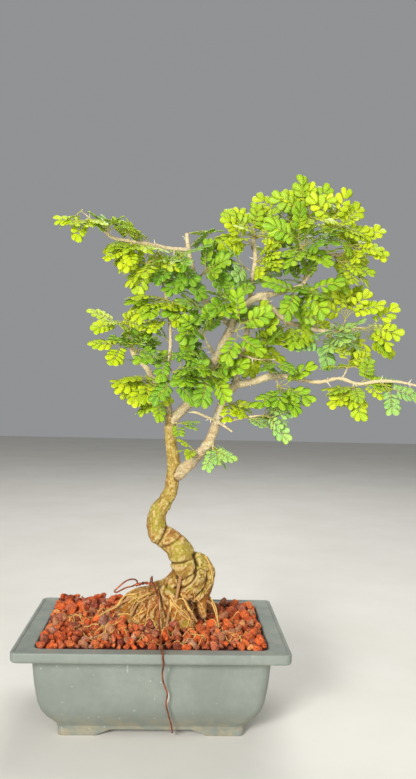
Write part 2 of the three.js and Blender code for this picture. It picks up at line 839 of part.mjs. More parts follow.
// Frame of a leaf: along its stalk, across it, and up out of its face.
function leafFrame(along, lean) {
  const tilt = THREE.MathUtils.degToRad(lean);
  const face = vec(0, -Math.sin(tilt), Math.cos(tilt));
  const across = vec(0, 0, 0).crossVectors(face, along).normalize();
  const up = vec(0, 0, 0).crossVectors(along, across);
  return { along, across, up };
}

// Point of a leaf: it sags with the square of the distance from its foot.
function onLeaf({ foot, frame, droop }, u, v, lift) {
  return foot
    .clone()
    .addScaledVector(frame.along, u)
    .addScaledVector(frame.across, v)
    .addScaledVector(frame.up, lift - droop * (u * u + v * v));
}

// Foot of a spray: it slides along the twig's line until it stands just clear of the wood.
function seatOf(index, wood) {
  const [base, tip] = SPRAYS[index];
  const twig = vec(...tip).sub(vec(...base)).normalize();
  const foot = vec(...tip).addScaledVector(twig, STALK);
  for (let k = 0; k < SEAT_STEPS; k++) {
    const stub = solidOf(new THREE.OctahedronGeometry(STALK).translate(...foot.toArray()));
    foot.addScaledVector(twig, SEAT - stub.minGap(wood, 10));
  }
  return foot;
}

// Leaves of one spray, which fan out from its foot the way the spray reaches.
function leavesOf(index, seat, attempt) {
  const [, tip, end, count, lean, size] = SPRAYS[index];
  const draw = new Draw(100 * attempt + index);
  const reach = vec(...end).sub(vec(...tip)).normalize();
  const foot = seat.clone().addScaledVector(reach, SEAT_RETREAT * attempt);
  const loose = 1 + 0.12 * attempt;
  const leaves = [];
  for (let k = 0; k < count; k++) {
    const way = count > 1 ? 1 - 2 * k : 0;
    const fan = THREE.MathUtils.degToRad(way * 38 + loose * draw.between(-10, 10));
    const flat = leafFrame(reach, lean);
    const along = reach
      .clone()
      .multiplyScalar(Math.cos(fan))
      .addScaledVector(flat.across, Math.sin(fan))
      .addScaledVector(flat.up, 0.34 * way + loose * draw.between(-0.08, 0.22))
      .normalize();
    leaves.push({
      foot,
      frame: leafFrame(along, lean + loose * draw.between(-16, 16)),
      size,
      droop: draw.between(0.0025, 0.0075) / size,
      spread: THREE.MathUtils.degToRad(draw.between(33, 41)),
      twist: draw.between(-0.25, 0.25),
      heel: k ? 0 : 0.8 * STALK,
    });
  }
  return leaves;
}

// One leaf as a thin arched blade: a stalk that forks into two pinnae, cut to their ribs between leaflets.
function leafSolid(leaf) {
  const { size, spread, twist, heel } = leaf;
  const top = [];
  const faces = [];
  const add = (u, v, lift = 0) => top.push([u, v, lift]) - 1;
  const petiole = PETIOLE * size;
  const pinna = (way) => {
    const at = (s, t) => {
      const along = s * PINNA * size;
      const away = way * (t * PINNA * size);
      return add(
        petiole + along * Math.cos(spread) - Math.abs(away) * Math.sign(t) * Math.sin(spread),
        way * along * Math.sin(spread) + away * Math.cos(spread),
        twist * away,
      );
    };
    const rib = RIB / (PINNA * size);
    const row = (side, way2) => side.map(([s, t]) => at(s, way2 * Math.max(t, rib)));
    return { outer: row(OUTER_SIDE, 1), end: at(RIB_END, 0), inner: row(INNER_SIDE, -1) };
  };
  const foot = [add(-heel, STALK), add(-heel, -STALK)];
  const fork = [add(petiole, STALK), add(petiole, -STALK)];
  const crotch = add(petiole + CROTCH * size, 0);
  const left = pinna(1);
  const right = pinna(-1);
  const outline = [
    foot[0],
    fork[0],
    ...left.outer,
    left.end,
    ...left.inner.reverse(),
    crotch,
    ...right.inner,
    right.end,
    ...right.outer.reverse(),
    fork[1],
    foot[1],
  ];
  left.inner.reverse();
  right.outer.reverse();
  faces.push([foot[0], fork[0], foot[1]], [fork[0], fork[1], foot[1]], [fork[0], crotch, fork[1]]);
  const web = ({ outer: o, inner: n, end }, root, turn) => {
    const made = [
      [root, o[0], o[1]],
      [root, o[1], crotch],
      [o[1], n[0], crotch],
      [o[1], o[4], n[0]],
      [o[4], n[3], n[0]],
      [o[4], end, n[3]],
      [o[1], o[2], o[3]],
      [o[1], o[3], o[4]],
      [n[0], n[2], n[1]],
      [n[0], n[3], n[2]],
      [o[4], o[5], o[6]],
      [o[4], o[6], end],
      [n[3], n[5], n[4]],
      [n[3], end, n[5]],
    ];
    faces.push(...made.map(([a, b, c]) => (turn ? [a, c, b] : [a, b, c])));
  };
  web(left, fork[0], false);
  web(right, fork[1], true);
  const count = top.length;
  const points = [];
  for (const half of [BLADE / 2, -BLADE / 2]) {
    for (const [u, v, lift] of top) points.push(onLeaf(leaf, u, v, lift + half));
  }
  const index = [];
  for (const [a, b, c] of faces) index.push(a, c, b, count + a, count + b, count + c);
  outline.forEach((a, i) => {
    const b = outline[(i + 1) % outline.length];
    index.push(a, b, count + a, b, count + b, count + a);
  });
  return solidOf(new THREE.BufferGeometry().setFromPoints(points).setIndex(index));
}

// True where a solid comes too near to one of the others.
function touches(solid, others) {
  const a = solid.boundingBox();
  return others.some((other) => {
    const b = other.boundingBox();
    for (let i = 0; i < 3; i++) {
      if (a.min[i] > b.max[i] + TOUCH || b.min[i] > a.max[i] + TOUCH) return false;
    }
    return solid.minGap(other, TOUCH) < TOUCH;
  });
}

// A spray takes the first place where all its leaves are clear of the rest of the tree.
function spraySolid(index, wood, others) {
  const seat = seatOf(index, wood);
  let best = [];
  for (let attempt = 0; attempt < TRIES && best.length < SPRAYS[index][3]; attempt++) {
    const clear = leavesOf(index, seat, attempt)
      .map((leaf) => leafSolid(leaf))
      .filter((leaf) => !touches(leaf, others));
    if (clear.length > best.length) best = clear;
  }
  return union(best);
}

// Scene graph
const bonsai = new THREE.Group();

function place(name, solid, material) {
  const mesh = new THREE.Mesh(geometryOf(solid), material);
  mesh.name = name;
  bonsai.add(mesh);
  return solid;
}

const pot = place("pot", potSolid(), POT_PLASTIC);
place("drainage_screen_left", screenSolid(-DRAIN_X), SCREEN_PLASTIC);
place("drainage_screen_right", screenSolid(DRAIN_X), SCREEN_PLASTIC);
const gravel = place("lava_gravel", gravelSolid(wireSolid(SOCKET)), LAVA);
const wood = place("trunk_and_branches", woodSolid(), BARK);
const wire = place("tie_wire", wireSolid(), COPPER);
const standing = [pot, gravel, wood, wire];
SPRAYS.forEach((spray, index) => {
  const name = "leafy_spray_" + String(index + 1).padStart(2, "0");
  standing.push(place(name, spraySolid(index, wood, standing), spray[6]));
});

// The origin goes under the middle of the whole object's box.
const box = new THREE.Box3().setFromObject(bonsai);
const middle = box.getCenter(vec(0, 0, 0));
bonsai.position.set(-middle.x, -middle.y, -box.min.z);

export default bonsai;
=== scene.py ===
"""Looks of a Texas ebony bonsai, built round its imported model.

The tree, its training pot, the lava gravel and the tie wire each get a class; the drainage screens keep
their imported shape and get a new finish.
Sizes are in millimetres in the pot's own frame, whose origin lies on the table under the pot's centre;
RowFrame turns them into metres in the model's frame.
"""

import logging
import math
from collections import defaultdict
from dataclasses import dataclass, field, replace
from enum import Enum
from functools import cached_property, reduce
from itertools import chain, combinations
from typing import NamedTuple

import bpy
import numpy as np
from mathutils import Matrix, Vector
from mathutils.bvhtree import BVHTree

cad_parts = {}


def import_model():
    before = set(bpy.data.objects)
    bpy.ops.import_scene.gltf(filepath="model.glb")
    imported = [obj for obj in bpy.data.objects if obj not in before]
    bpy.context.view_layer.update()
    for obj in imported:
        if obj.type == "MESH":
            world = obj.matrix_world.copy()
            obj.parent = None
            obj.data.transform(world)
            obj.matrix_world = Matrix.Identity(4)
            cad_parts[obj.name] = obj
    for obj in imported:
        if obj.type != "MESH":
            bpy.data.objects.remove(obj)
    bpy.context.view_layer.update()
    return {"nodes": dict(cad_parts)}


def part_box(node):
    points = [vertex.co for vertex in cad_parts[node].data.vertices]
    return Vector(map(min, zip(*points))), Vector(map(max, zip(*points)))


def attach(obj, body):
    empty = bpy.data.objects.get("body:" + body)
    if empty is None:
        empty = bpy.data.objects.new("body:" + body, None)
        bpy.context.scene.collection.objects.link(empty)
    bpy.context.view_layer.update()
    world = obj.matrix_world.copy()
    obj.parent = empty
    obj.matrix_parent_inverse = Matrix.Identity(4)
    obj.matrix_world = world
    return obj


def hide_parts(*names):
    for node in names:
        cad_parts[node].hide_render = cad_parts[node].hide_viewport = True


LOG = logging.getLogger("bonsai")
IMAGE_LONG_SIDE = 779
MM = 0.001
EYE = (17.47, -814.57, 334.63)  # the camera's place in the pot's own frame

Array = np.ndarray
Route = list[tuple[float, ...]]
Ellipse = tuple[float, float, float, float, float]


class Tone(Enum):
    """Colour family of a spray, which is also its finish."""

    LIME = "leaf_lime"
    GREEN = "leaf_green"
    PALE = "leaf_pale"


LIME, GREEN, PALE = Tone


class Spray(NamedTuple):
    """A spray: foot and tip of its twig, where its leaves reach to, how many they are, the lean of their
    faces from straight up towards the front in degrees, their size, and its tone.
    """

    foot: tuple[float, float, float]
    tip: tuple[float, float, float]
    end: tuple[float, float, float]
    leaves: int
    lean: float
    size: float
    tone: Tone

    def reach(self) -> Array:
        """Direction in which its leaves reach."""
        return unit(np.array(self.end, float) - np.array(self.tip, float))


# Wood: each route runs from its foot to its tip through (x, y, z, radius).
TRUNK: Route = [
    (30, -3, 133, 6.5), (31, -3, 139, 10.5), (31, -3, 147, 12.5), (28, -2, 155, 12), (25, -1, 163, 13),
    (20, 0, 171, 12.5), (12, 1, 176, 11.5), (3, 2, 182, 11.5), (-1, 2, 191, 10), (0, 1, 202, 9),
    (6, 1, 212, 8), (12, 0, 222, 7.5), (15, 0, 237, 7), (16, 0, 255, 6.5), (12, 0, 277, 6),
    (11, 0, 300, 5.5),
]
LIMBS: dict[str, Route] = {
    "middle": [
        (11, 0, 295, 5.5), (22, -1, 307, 5), (36, -3, 321, 5), (46, -4, 331, 5), (53, -6, 355, 4.5),
        (62, -8, 372, 5), (69, -9, 389, 4.5), (76, -9, 406, 4), (86, -8, 417, 4), (101, -6, 425, 4),
        (116, -2, 428, 2.6), (131, 4, 433, 2.4),
    ],
    "middle_right": [
        (101, -6, 424, 3.5), (107, -6, 418, 3), (119, -2, 407, 2.8), (129, 2, 400, 2.8), (144, 6, 397, 2.8),
        (169, 10, 392, 2.3), (187, 14, 393, 2), (209, 18, 397, 1.7),
    ],
    "middle_top": [
        (131, 4, 433, 2.4), (145, 10, 440, 2.4), (149, 18, 454, 2.4), (147, 24, 466, 2.8),
        (138, 30, 478, 2.5), (128, 36, 491, 1.8),
    ],
    "top_right": [(145, 10, 440, 2), (157, 16, 458, 2), (166, 20, 470, 2.3), (186, 26, 474, 1.8)],
    "right": [
        (16, 0, 239, 6), (28, -5, 250, 6), (40, -10, 263, 5.4), (51, -14, 278, 5), (58, -19, 300, 4.5),
        (62, -21, 315, 4.2), (69, -23, 328, 4.2), (78, -24, 337, 4),
    ],
    "right_up": [
        (75, -24, 333, 3.6), (76, -22, 345, 3.5), (80, -16, 360, 3), (86, -4, 380, 3), (89, 8, 404, 2.8),
        (91, 14, 427, 2.5), (93, 18, 447, 2.3), (96, 21, 464, 2.5), (94, 26, 489, 2),
    ],
    "right_out": [
        (76, -24, 335, 4), (92, -27, 338, 3.6), (107, -31, 343, 3.5), (121, -34, 344, 2.5),
        (137, -38, 341, 2.1), (154, -42, 339, 2), (174, -46, 343, 2), (191, -50, 338, 1.9),
        (209, -54, 341, 1.8), (228, -57, 341, 1.6), (248, -60, 337, 1.3),
    ],
    "left": [
        (11, 0, 297, 4.5), (8, 4, 313, 4), (1, 9, 327, 3.5), (-8, 15, 340, 3.3), (-18, 22, 354, 3),
        (-28, 28, 363, 2.8), (-33, 34, 375, 2.3), (-40, 42, 397, 1.7),
    ],
    "left_inner": [
        (5, 6, 323, 2.5), (7, -2, 338, 2.4), (8, -8, 352, 2.1), (10, -6, 373, 1.9), (8, 0, 401, 1.8),
        (4, 4, 423, 1.7), (-3, 6, 446, 1.3),
    ],
    "left_top": [
        (71, -9, 393, 3), (61, -3, 402, 3), (51, 4, 411, 2.8), (42, 10, 424, 2.8), (35, 16, 442, 2.8),
        (29, 20, 461, 2.6), (26, 22, 475, 2.5), (24, 24, 491, 2),
    ],
    "far_left": [
        (27, 22, 474, 2.4), (9, 18, 474, 2.1), (-11, 10, 476, 2.2), (-34, -2, 477, 2), (-51, -10, 479, 1.8),
        (-59, -16, 485, 1.5), (-72, -22, 495, 1.2), (-80, -26, 501, 0.7),
    ],
    "spiny_left": [(58, -19, 298, 2), (46, -30, 303, 1.6), (36, -36, 307, 1.5), (29, -38, 307, 0.8)],
    "spiny_right": [(58, -20, 298, 2), (66, -34, 293, 1.5), (72, -38, 289, 1.2)],
    "bare_right": [(64, -8, 369, 2), (79, -26, 365, 1.5), (94, -34, 360, 1.4), (112, -40, 360, 0.8)],
    "bare_left": [(55, -6, 363, 2), (48, -20, 372, 1.7), (43, -28, 381, 1)],
    "low_right": [(61, -21, 313, 1.8), (66, -30, 300, 1.7), (83, -38, 303, 1.5), (100, -44, 306, 1.1)],
}
ROOTS: dict[str, Route] = {
    "core": [(22, 8, 130, 11.5), (16, 8, 115, 21.5), (13, 6, 96, 27.5)],
    "right_lobe": [
        (35, 4, 157, 7.5), (44, 3, 153, 9), (50, 1, 145, 9.5), (51, -1, 134, 8.5), (48, -4, 122, 7.5),
        (47, -7, 113, 5.5), (49, -9, 101, 3.5),
    ],
    "middle_lobe": [(49, -2, 142, 6), (43, -7, 138, 9.5), (35, -11, 132, 10.5), (30, -13, 124, 7.5)],
    "left_ridge": [(23, -2, 143, 6.5), (17, -4, 133, 9), (14, -8, 125, 8.5), (16, -10, 118, 5)],
    "tuber": [
        (9, -9, 127, 7), (16, -13, 118, 10.5), (24, -16, 108, 12), (31, -18, 99, 11.5), (34, -18, 89, 8),
    ],
    "left_shoulder": [
        (13, 0, 123, 9.5), (0, 0, 118, 10.5), (-12, -2, 117, 11), (-22, -4, 115, 9.5), (-30, -6, 112, 7),
        (-37, -8, 107, 3.5),
    ],
    "left_front": [
        (7, -8, 117, 9.5), (-3, -11, 111, 10.5), (-12, -13, 107, 9.5), (-19, -14, 102, 6.5),
        (-25, -14, 97, 3),
    ],
    "left_middle": [(3, -12, 112, 9), (-3, -15, 103, 9), (-8, -16, 94, 6)],
    "front_middle": [(11, -11, 117, 8.5), (8, -15, 107, 10), (7, -17, 98, 9.5), (6, -17, 88, 6.5)],
    "back_right": [(31, 8, 136, 10.5), (40, 20, 120, 10.5), (51, 32, 104, 8.5), (60, 42, 94, 5)],
    "back_middle": [(23, 10, 130, 10.5), (19, 24, 114, 11.5), (13, 36, 100, 9.5), (9, 46, 91, 5)],
    "back_left": [(11, 10, 126, 9), (-2, 22, 115, 10.5), (-14, 32, 103, 8.5), (-25, 42, 94, 5)],
}
FINE_ROOTS: list[Route] = [
    [(25, -13, 141, 1.8), (23, -20, 131, 1.6), (21, -23, 120, 1.5)],
    [(18, -20, 121, 1.3), (14, -28, 108, 1.2), (12, -31, 92, 1.1)],
    [(27, -15, 127, 1.4), (34, -28, 114, 1.3), (42, -30, 102, 1.1)],
    [(-18, -10, 119, 1.5), (-29, -14, 117, 1.4), (-42, -20, 111, 1.3), (-53, -26, 106, 1.1)],
    [(-6, -13, 120, 1.4), (-16, -20, 117, 1.3), (-23, -24, 105, 1.2)],
    [(50, -6, 117, 1.5), (59, -14, 113, 1.4), (64, -24, 96, 1.2)],
]
WIRE: Route = [
    (3, -27, 124), (4, -31, 114), (5, -34, 104), (6, -42, 97), (7, -56, 95), (8, -72, 93), (9, -84, 91),
    (9, -91, 92), (10, -94.6, 91.6), (10, -95.6, 88), (11, -95.4, 82), (10.6, -93, 78), (9.9, -90, 72),
    (11.1, -85, 62), (14.8, -82, 50), (13.8, -80, 41), (16, -77, 30), (19.3, -70, 16), (20, -61, 6),
    (20, -48, 5.6), (16, -16, 5.6), (12, 16, 5.6), (8, 48, 5.6), (7, 61, 6), (6, 70, 16), (6, 77, 28),
    (5, 80, 40), (5, 82, 50), (4, 86, 64), (4, 93.6, 78), (4, 95.6, 82), (4, 95.6, 88), (4, 94.6, 91.6),
    (4, 91, 92), (3, 84, 91.2), (2, 74, 93), (0, 60, 99), (-2, 47, 104), (-4, 36, 119), (-4, 22, 131),
    (-4, 8, 136), (-5, -6, 135),
]
WIRE_LOOP: Route = [
    (-18.7, -14.6, 133.4), (-17.7, -14.8, 136), (-20, -16, 138.7), (-24.8, -18, 139.3),
    (-29.6, -20.5, 137.6), (-34.9, -23, 133.5), (-39.6, -24.3, 128.8), (-38, -24.5, 128),
    (-28.7, -20, 131.4), (-22, -17.3, 132.6),
]
WIRE_TWIST: Route = [
    (-19, -16, 133), (-14, -15, 134.4), (-10, -14.8, 135.2), (-5.7, -15.2, 134.8), (-1.5, -17, 134.6),
]
MOSS: Route = [
    (-3, 209, 7), (1, 202, 8), (1, 193, 8), (-4, 190, 4), (12, 215, 5), (26, 169, 8), (31, 165, 5),
    (20, 174, 6), (44, 157, 8), (19, 158, 4), (13, 130, 5), (20, 127, 4), (-18, 118, 5), (31, 97, 6),
    (46, 127, 5), (33, 133, 4),
]
RUST: Route = [
    (17, 184, 10), (12, 175, 7), (23, 180, 7), (15, 144, 6), (12, 138, 6), (-10, 188, 5), (-5, 179, 6),
    (-13, 126, 7), (0, 124, 6), (-7, 112, 7), (24, 150, 5), (0, 115, 6), (-4, 104, 7), (37, 181, 5),
    (9, 110, 5), (37, 150, 4),
]
SPRAYS: list[Spray] = [Spray(*row) for row in (
    ((-70, -21, 493), (-72, -22, 493), (-76, -26, 491), 1, 50, 0.8, LIME),
    ((-55, -13, 482), (-55, -14, 485), (-59, -20, 493), 1, 60, 0.6, GREEN),
    ((-13, 9, 476), (-15, 6, 474), (-24, -6, 469), 2, 58, 1, LIME),
    ((-32, -1, 476), (-33, -3, 474), (-44, -14, 464), 1, 50, 0.8, LIME),
    ((-3, 13, 474), (-7, 0, 461), (-15, -20, 443), 2, 60, 1, LIME),
    ((11, 18, 473), (11, 4, 461), (8, -16, 445), 1, 60, 1, GREEN),
    ((3, 16, 473), (-1, 32, 475), (-8, 52, 478), 1, -35, 1, LIME),
    ((31, 18, 455), (28, 4, 447), (22, -14, 434), 1, 60, 0.95, GREEN),
    ((4, 4, 421), (3, 2, 420), (-11, -12, 411), 1, 45, 0.95, LIME),
    ((-40, 42, 396), (-42, 40, 397), (-50, 36, 398), 1, 45, 0.9, LIME),
    ((-34, 34, 376), (-37, 31, 375), (-47, 22, 372), 1, 45, 1, LIME),
    ((-28, 28, 364), (-26, 26, 367), (-18, 18, 371), 1, 60, 0.75, GREEN),
    ((-9, 15, 341), (-11, 11, 339), (-22, -6, 327), 2, 65, 0.95, LIME),
    ((3, 8, 324), (1, 4, 321), (-3, -8, 311), 1, 75, 0.75, LIME),
    ((-15, 20, 350), (-16, 36, 354), (-19, 56, 359), 1, -40, 0.95, GREEN),
    ((10, -8, 366), (8, -10, 364), (-2, -22, 356), 1, 65, 0.9, GREEN),
    ((8, -8, 351), (14, -20, 346), (22, -34, 341), 2, 65, 0.95, GREEN),
    ((13, -3, 294), (18, -8, 295), (27, -18, 294), 1, 65, 0.65, GREEN),
    ((41, -11, 264), (38, -16, 268), (31, -24, 270), 1, 60, 0.55, LIME),
    ((54, -16, 275), (54, -20, 270), (55, -28, 262), 1, 80, 0.7, PALE),
    ((64, -23, 321), (67, -28, 320), (77, -42, 316), 1, 65, 0.85, LIME),
    ((100, -44, 306), (102, -45, 305), (109, -50, 302), 1, 80, 0.85, PALE),
    ((43, -28, 381), (41, -29, 380), (34, -38, 389), 1, 50, 0.75, GREEN),
    ((53, -7, 355), (53, -24, 348), (49, -40, 341), 2, 65, 1, GREEN),
    ((51, 4, 411), (45, -12, 404), (37, -28, 395), 2, 60, 1, GREEN),
    ((49, 6, 415), (46, 24, 420), (40, 50, 429), 1, -35, 1, GREEN),
    ((35, 16, 442), (40, 6, 446), (50, -6, 450), 1, 60, 0.9, GREEN),
    ((69, -9, 389), (74, -28, 388), (82, -48, 389), 2, 65, 1, GREEN),
    ((76, -9, 406), (70, -20, 415), (61, -32, 425), 2, 65, 1, GREEN),
    ((86, -4, 380), (89, -7, 381), (105, -20, 384), 2, 65, 1, LIME),
    ((89, 8, 404), (97, 28, 407), (107, 50, 412), 1, -35, 1, GREEN),
    ((94, 19, 452), (86, 12, 455), (75, 0, 457), 1, 65, 0.9, PALE),
    ((96, 21, 464), (98, 18, 463), (106, 8, 459), 1, 70, 0.7, LIME),
    ((94, 25, 483), (90, 24, 484), (69, 14, 488), 1, 60, 0.95, LIME),
    ((94, 26, 488), (92, 27, 491), (80, 30, 510), 2, 65, 0.95, LIME),
    ((94, 26, 487), (96, 25, 489), (106, 18, 500), 1, 65, 0.9, LIME),
    ((94, 24, 476), (94, 42, 483), (94, 66, 494), 1, -30, 1, LIME),
    ((128, 36, 490), (124, 36, 507), (119, 36, 523), 1, 70, 0.95, LIME),
    ((144, 27, 472), (143, 12, 478), (139, -4, 483), 2, 75, 1.1, GREEN),
    ((147, 24, 465), (150, 22, 511), (155, 20, 529), 2, 75, 1, LIME),
    ((168, 21, 470), (176, 18, 498), (183, 12, 512), 2, 70, 1, LIME),
    ((186, 26, 474), (196, 24, 483), (208, 20, 488), 1, 65, 0.95, LIME),
    ((179, 24, 472), (184, 14, 465), (190, 2, 457), 1, 65, 0.9, LIME),
    ((172, 22, 471), (183, 42, 478), (196, 66, 488), 1, -30, 1, LIME),
    ((145, 11, 441), (142, -6, 432), (137, -26, 421), 2, 65, 1, GREEN),
    ((129, 2, 400), (128, -1, 397), (120, -16, 385), 1, 65, 0.9, LIME),
    ((169, 10, 392), (169, 0, 387), (172, -14, 380), 2, 65, 1, PALE),
    ((187, 14, 393), (190, 12, 404), (192, 6, 420), 2, 65, 0.95, LIME),
    ((208, 18, 397), (211, 17, 396), (218, 12, 392), 2, 60, 1, LIME),
    ((114, -32, 343), (115, -40, 335), (123, -52, 329), 2, 60, 0.95, GREEN),
    ((176, -46, 343), (182, -42, 353), (182, -34, 363), 1, 55, 0.9, LIME),
    ((189, -50, 338), (189, -52, 335), (183, -60, 328), 1, 65, 0.85, LIME),
    ((211, -54, 341), (213, -56, 339), (218, -60, 335), 1, 65, 0.85, PALE),
    ((246, -60, 337), (249, -60, 337), (258, -60, 336), 2, 55, 0.85, LIME),
)]
# Fine roots that cling to the front of the root base, as (x, z) seen from the front, with a radius.
CLINGING_ROOTS: list[tuple[float, Route]] = [
    (1.0, [(16, 121), (15, 104), (12, 90)]),
    (0.9, [(26, 126), (32, 116), (36, 108), (42, 99)]),
    (0.9, [(17, 119), (25, 110), (33, 104), (41, 100)]),
    (1.0, [(-20, 127), (-31, 120), (-37, 112), (-40, 103)]),
    (0.8, [(-33, 113), (-44, 110), (-55, 105)]),
    (0.9, [(-6, 124), (-18, 118), (-22, 111), (-24, 104)]),
    (0.9, [(57, 116), (61, 106), (64, 95)]),
    (0.8, [(-8, 98), (2, 96), (11, 90)]),
    (0.8, [(35, 105), (33, 98), (30, 91)]),
    (0.7, [(4, 118), (-2, 108), (-3, 97)]),
    (0.6, [(22, 112), (20, 101), (24, 92)]),
    (0.7, [(-12, 112), (-16, 103), (-14, 95)]),
    (0.6, [(38, 130), (40, 118), (37, 108)]),
    (0.6, [(46, 128), (44, 117), (47, 104)]),
    (1.0, [(15, 125), (21, 117), (31, 109), (37, 101)]),
    (1.0, [(21, 121), (29, 121), (35, 113), (45, 104)]),
    (0.9, [(17, 119), (15, 106), (13, 93)]),
    (0.9, [(30, 124), (38, 114), (48, 110)]),
    (0.9, [(56, 121), (61, 112), (63, 100)]),
    (0.8, [(42, 121), (48, 111), (51, 104)]),
    (1.0, [(-20, 123), (-32, 120), (-40, 108)]),
    (0.9, [(-5, 123), (-14, 118), (-24, 121)]),
    (0.8, [(-6, 111), (-8, 99)]),
    (0.9, [(-36, 103), (-24, 104), (-16, 99)]),
    (1.1, [(50, 160), (55, 151), (58, 137)]),
    (0.8, [(-26, 115), (-21, 119), (-14, 121)]),
    (0.8, [(-11, 109), (-18, 105), (-24, 97)]),
]

# Pads of foliage, as the crown shows them from the front: tilted ellipses (x, z, half width, half height,
# degrees that they rise to the right).
PADS: list[Ellipse] = [
    (-88, 494, 16, 9, 18), (-63, 496, 14, 9, -8), (-37, 489, 25, 7, -33), (-43, 467, 20, 10, 0),
    (-19, 466, 15, 13, -35), (-57, 447, 13, 9, 8), (-36, 433, 16, 10, 8), (-27, 420, 12, 9, 50),
    (-37, 452, 22, 8, 5), (-7, 450, 22, 16, -10), (16, 459, 15, 14, 0), (10, 434, 22, 8, 0),
    (36, 443, 16, 12, 0), (44, 489, 17, 6, 8), (45, 476, 16, 7, 22), (66, 514, 14, 7, -12),
    (74, 500, 19, 10, -8), (64, 476, 20, 14, 0), (60, 456, 22, 12, 0), (77, 440, 24, 11, 0),
    (96, 510, 17, 13, -10), (102, 492, 22, 14, 0), (107, 469, 17, 16, 0), (105, 449, 22, 12, 0),
    (126, 529, 16, 10, -25), (134, 513, 20, 12, 0), (129, 492, 22, 16, 0), (148, 538, 14, 10, -60),
    (159, 532, 12, 17, -60), (175, 522, 17, 12, -20), (180, 506, 22, 14, -15), (158, 493, 24, 20, 0),
    (140, 462, 22, 15, 0), (201, 480, 22, 13, -28), (218, 475, 17, 9, -12), (191, 460, 22, 14, -15),
    (214, 456, 12, 5, -12), (210, 436, 9, 18, -80), (183, 441, 14, 11, 0), (198, 421, 15, 12, -30),
    (176, 422, 17, 11, -20), (143, 428, 22, 15, 0), (151, 410, 22, 10, -20), (23, 416, 28, 10, 8),
    (53, 417, 24, 14, 0), (29, 396, 24, 14, 10), (66, 397, 26, 16, 0), (81, 428, 18, 10, 0),
    (92, 404, 16, 12, 0), (112, 404, 16, 12, 0), (113, 386, 20, 12, 0), (137, 387, 22, 12, -10),
    (138, 377, 16, 9, -20), (-12, 413, 22, 9, 10), (-36, 399, 22, 8, 18), (-60, 392, 11, 6, 12),
    (-15, 391, 22, 12, 10), (-35, 378, 30, 9, 14), (-73, 368, 16, 7, 20), (-17, 369, 13, 9, 0),
    (-5, 379, 14, 8, -10), (183, 388, 22, 13, -15), (177, 373, 16, 10, -10), (228, 393, 16, 10, -10),
    (228, 377, 17, 11, -25), (243, 367, 10, 6, -30), (206, 366, 12, 12, 0), (212, 350, 15, 12, -45),
    (229, 340, 18, 6, 0), (0, 359, 17, 9, 10), (24, 372, 12, 7, 12), (40, 362, 22, 15, 0),
    (40, 342, 26, 14, 0), (65, 354, 18, 14, 0), (81, 369, 18, 12, 0), (12, 333, 16, 14, 0),
    (-12, 332, 16, 14, 0), (-34, 328, 18, 13, 15), (-40, 308, 12, 7, 40), (-19, 306, 12, 11, 0),
    (1, 302, 9, 9, 0), (0, 319, 12, 12, 0), (89, 349, 18, 9, 0), (122, 348, 22, 10, -15),
    (103, 366, 12, 10, 0), (61, 320, 9, 15, 0), (74, 320, 16, 8, -15), (82, 308, 16, 9, -30),
    (95, 296, 12, 6, -30), (77, 334, 16, 7, 0), (112, 333, 14, 10, -20), (114, 319, 12, 10, 0),
    (115, 297, 12, 15, 0), (127, 293, 5, 10, 0), (137, 319, 20, 13, 0), (141, 307, 12, 5, 0),
    (155, 320, 16, 6, -45), (174, 320, 18, 5, -50), (149, 344, 18, 7, -10), (157, 357, 15, 6, -15),
    (183, 355, 12, 6, 0), (188, 333, 14, 5, 0), (192, 321, 17, 10, -10), (207, 323, 8, 8, 0),
    (229, 328, 15, 9, -25), (242, 320, 8, 5, -40), (258, 332, 8, 6, -45), (122, 356, 12, 7, -20),
    (147, 399, 12, 8, 0), (31, 291, 12, 5, -12), (40, 283, 10, 6, -10), (30, 266, 11, 5, -10),
    (60, 267, 15, 8, -20), (65, 257, 11, 9, 0),
]
# Stretches of the limbs that no leaf hides, as ellipses of the same kind.
BARE: list[Ellipse] = [
    (36, 437, 19, 5, -82), (92, 465, 21, 6, 88), (102, 424, 21, 7, 10), (124, 408, 20, 5, -48),
    (65, 385, 19, 9, 68), (31, 316, 19, 7, 38), (99, 338, 26, 6, 10), (163, 340, 25, 3, 5),
    (4, 427, 9, 3, 90), (49, 373, 14, 3, -55), (82, 361, 19, 4, 84), (10, 323, 17, 4, -72),
    (-20, 356, 16, 4, -50), (62, 304, 39, 7, 63),
]

# Swellings where the roots have grown together, as (x, y, z, radius): they fill the clefts between them.
SWELLINGS: Route = [
    (28, -3, 149, 13.2), (-10, -10, 110, 11.5), (0, -14, 104, 12), (-20, -8, 107, 9.5), (6, -15, 112, 9.5),
    (-14, -13, 100, 10), (-26, -8, 103, 7.5), (14, -13, 100, 11), (46, -5, 132, 9.5), (41, -8, 124, 9),
    (47, -3, 142, 9.8), (18, -6, 131, 10.5), (24, -10, 120, 10),
]

# Creases across the front of the trunk and between the lobes of the base, as (x, z) seen from the front,
# each with its depth.
CREASES: list[tuple[float, Route]] = [
    (1.5, [(10, 189), (7, 182), (1, 171)]),
    (1.0, [(25, 181), (14, 173), (6, 169)]),
    (1.1, [(15, 154), (27, 156), (39, 160)]),
    (2.4, [(39, 162), (41, 150), (39, 142), (33, 136), (26, 132), (20, 131)]),
    (2.0, [(53, 146), (51, 134), (46, 127), (40, 122)]),
    (1.9, [(4, 127), (8, 115), (14, 102), (19, 91)]),
    (1.0, [(11, 134), (9, 126), (17, 121)]),
    (0.9, [(39, 135), (42, 133), (44, 135)]),
    (0.8, [(-5, 128), (-8, 115), (-3, 102)]),
    (0.8, [(-17, 122), (-21, 111), (-15, 101)]),
    (0.7, [(3, 122), (0, 110), (5, 98)]),
    (0.6, [(10, 218), (14, 213), (18, 214)]),
]

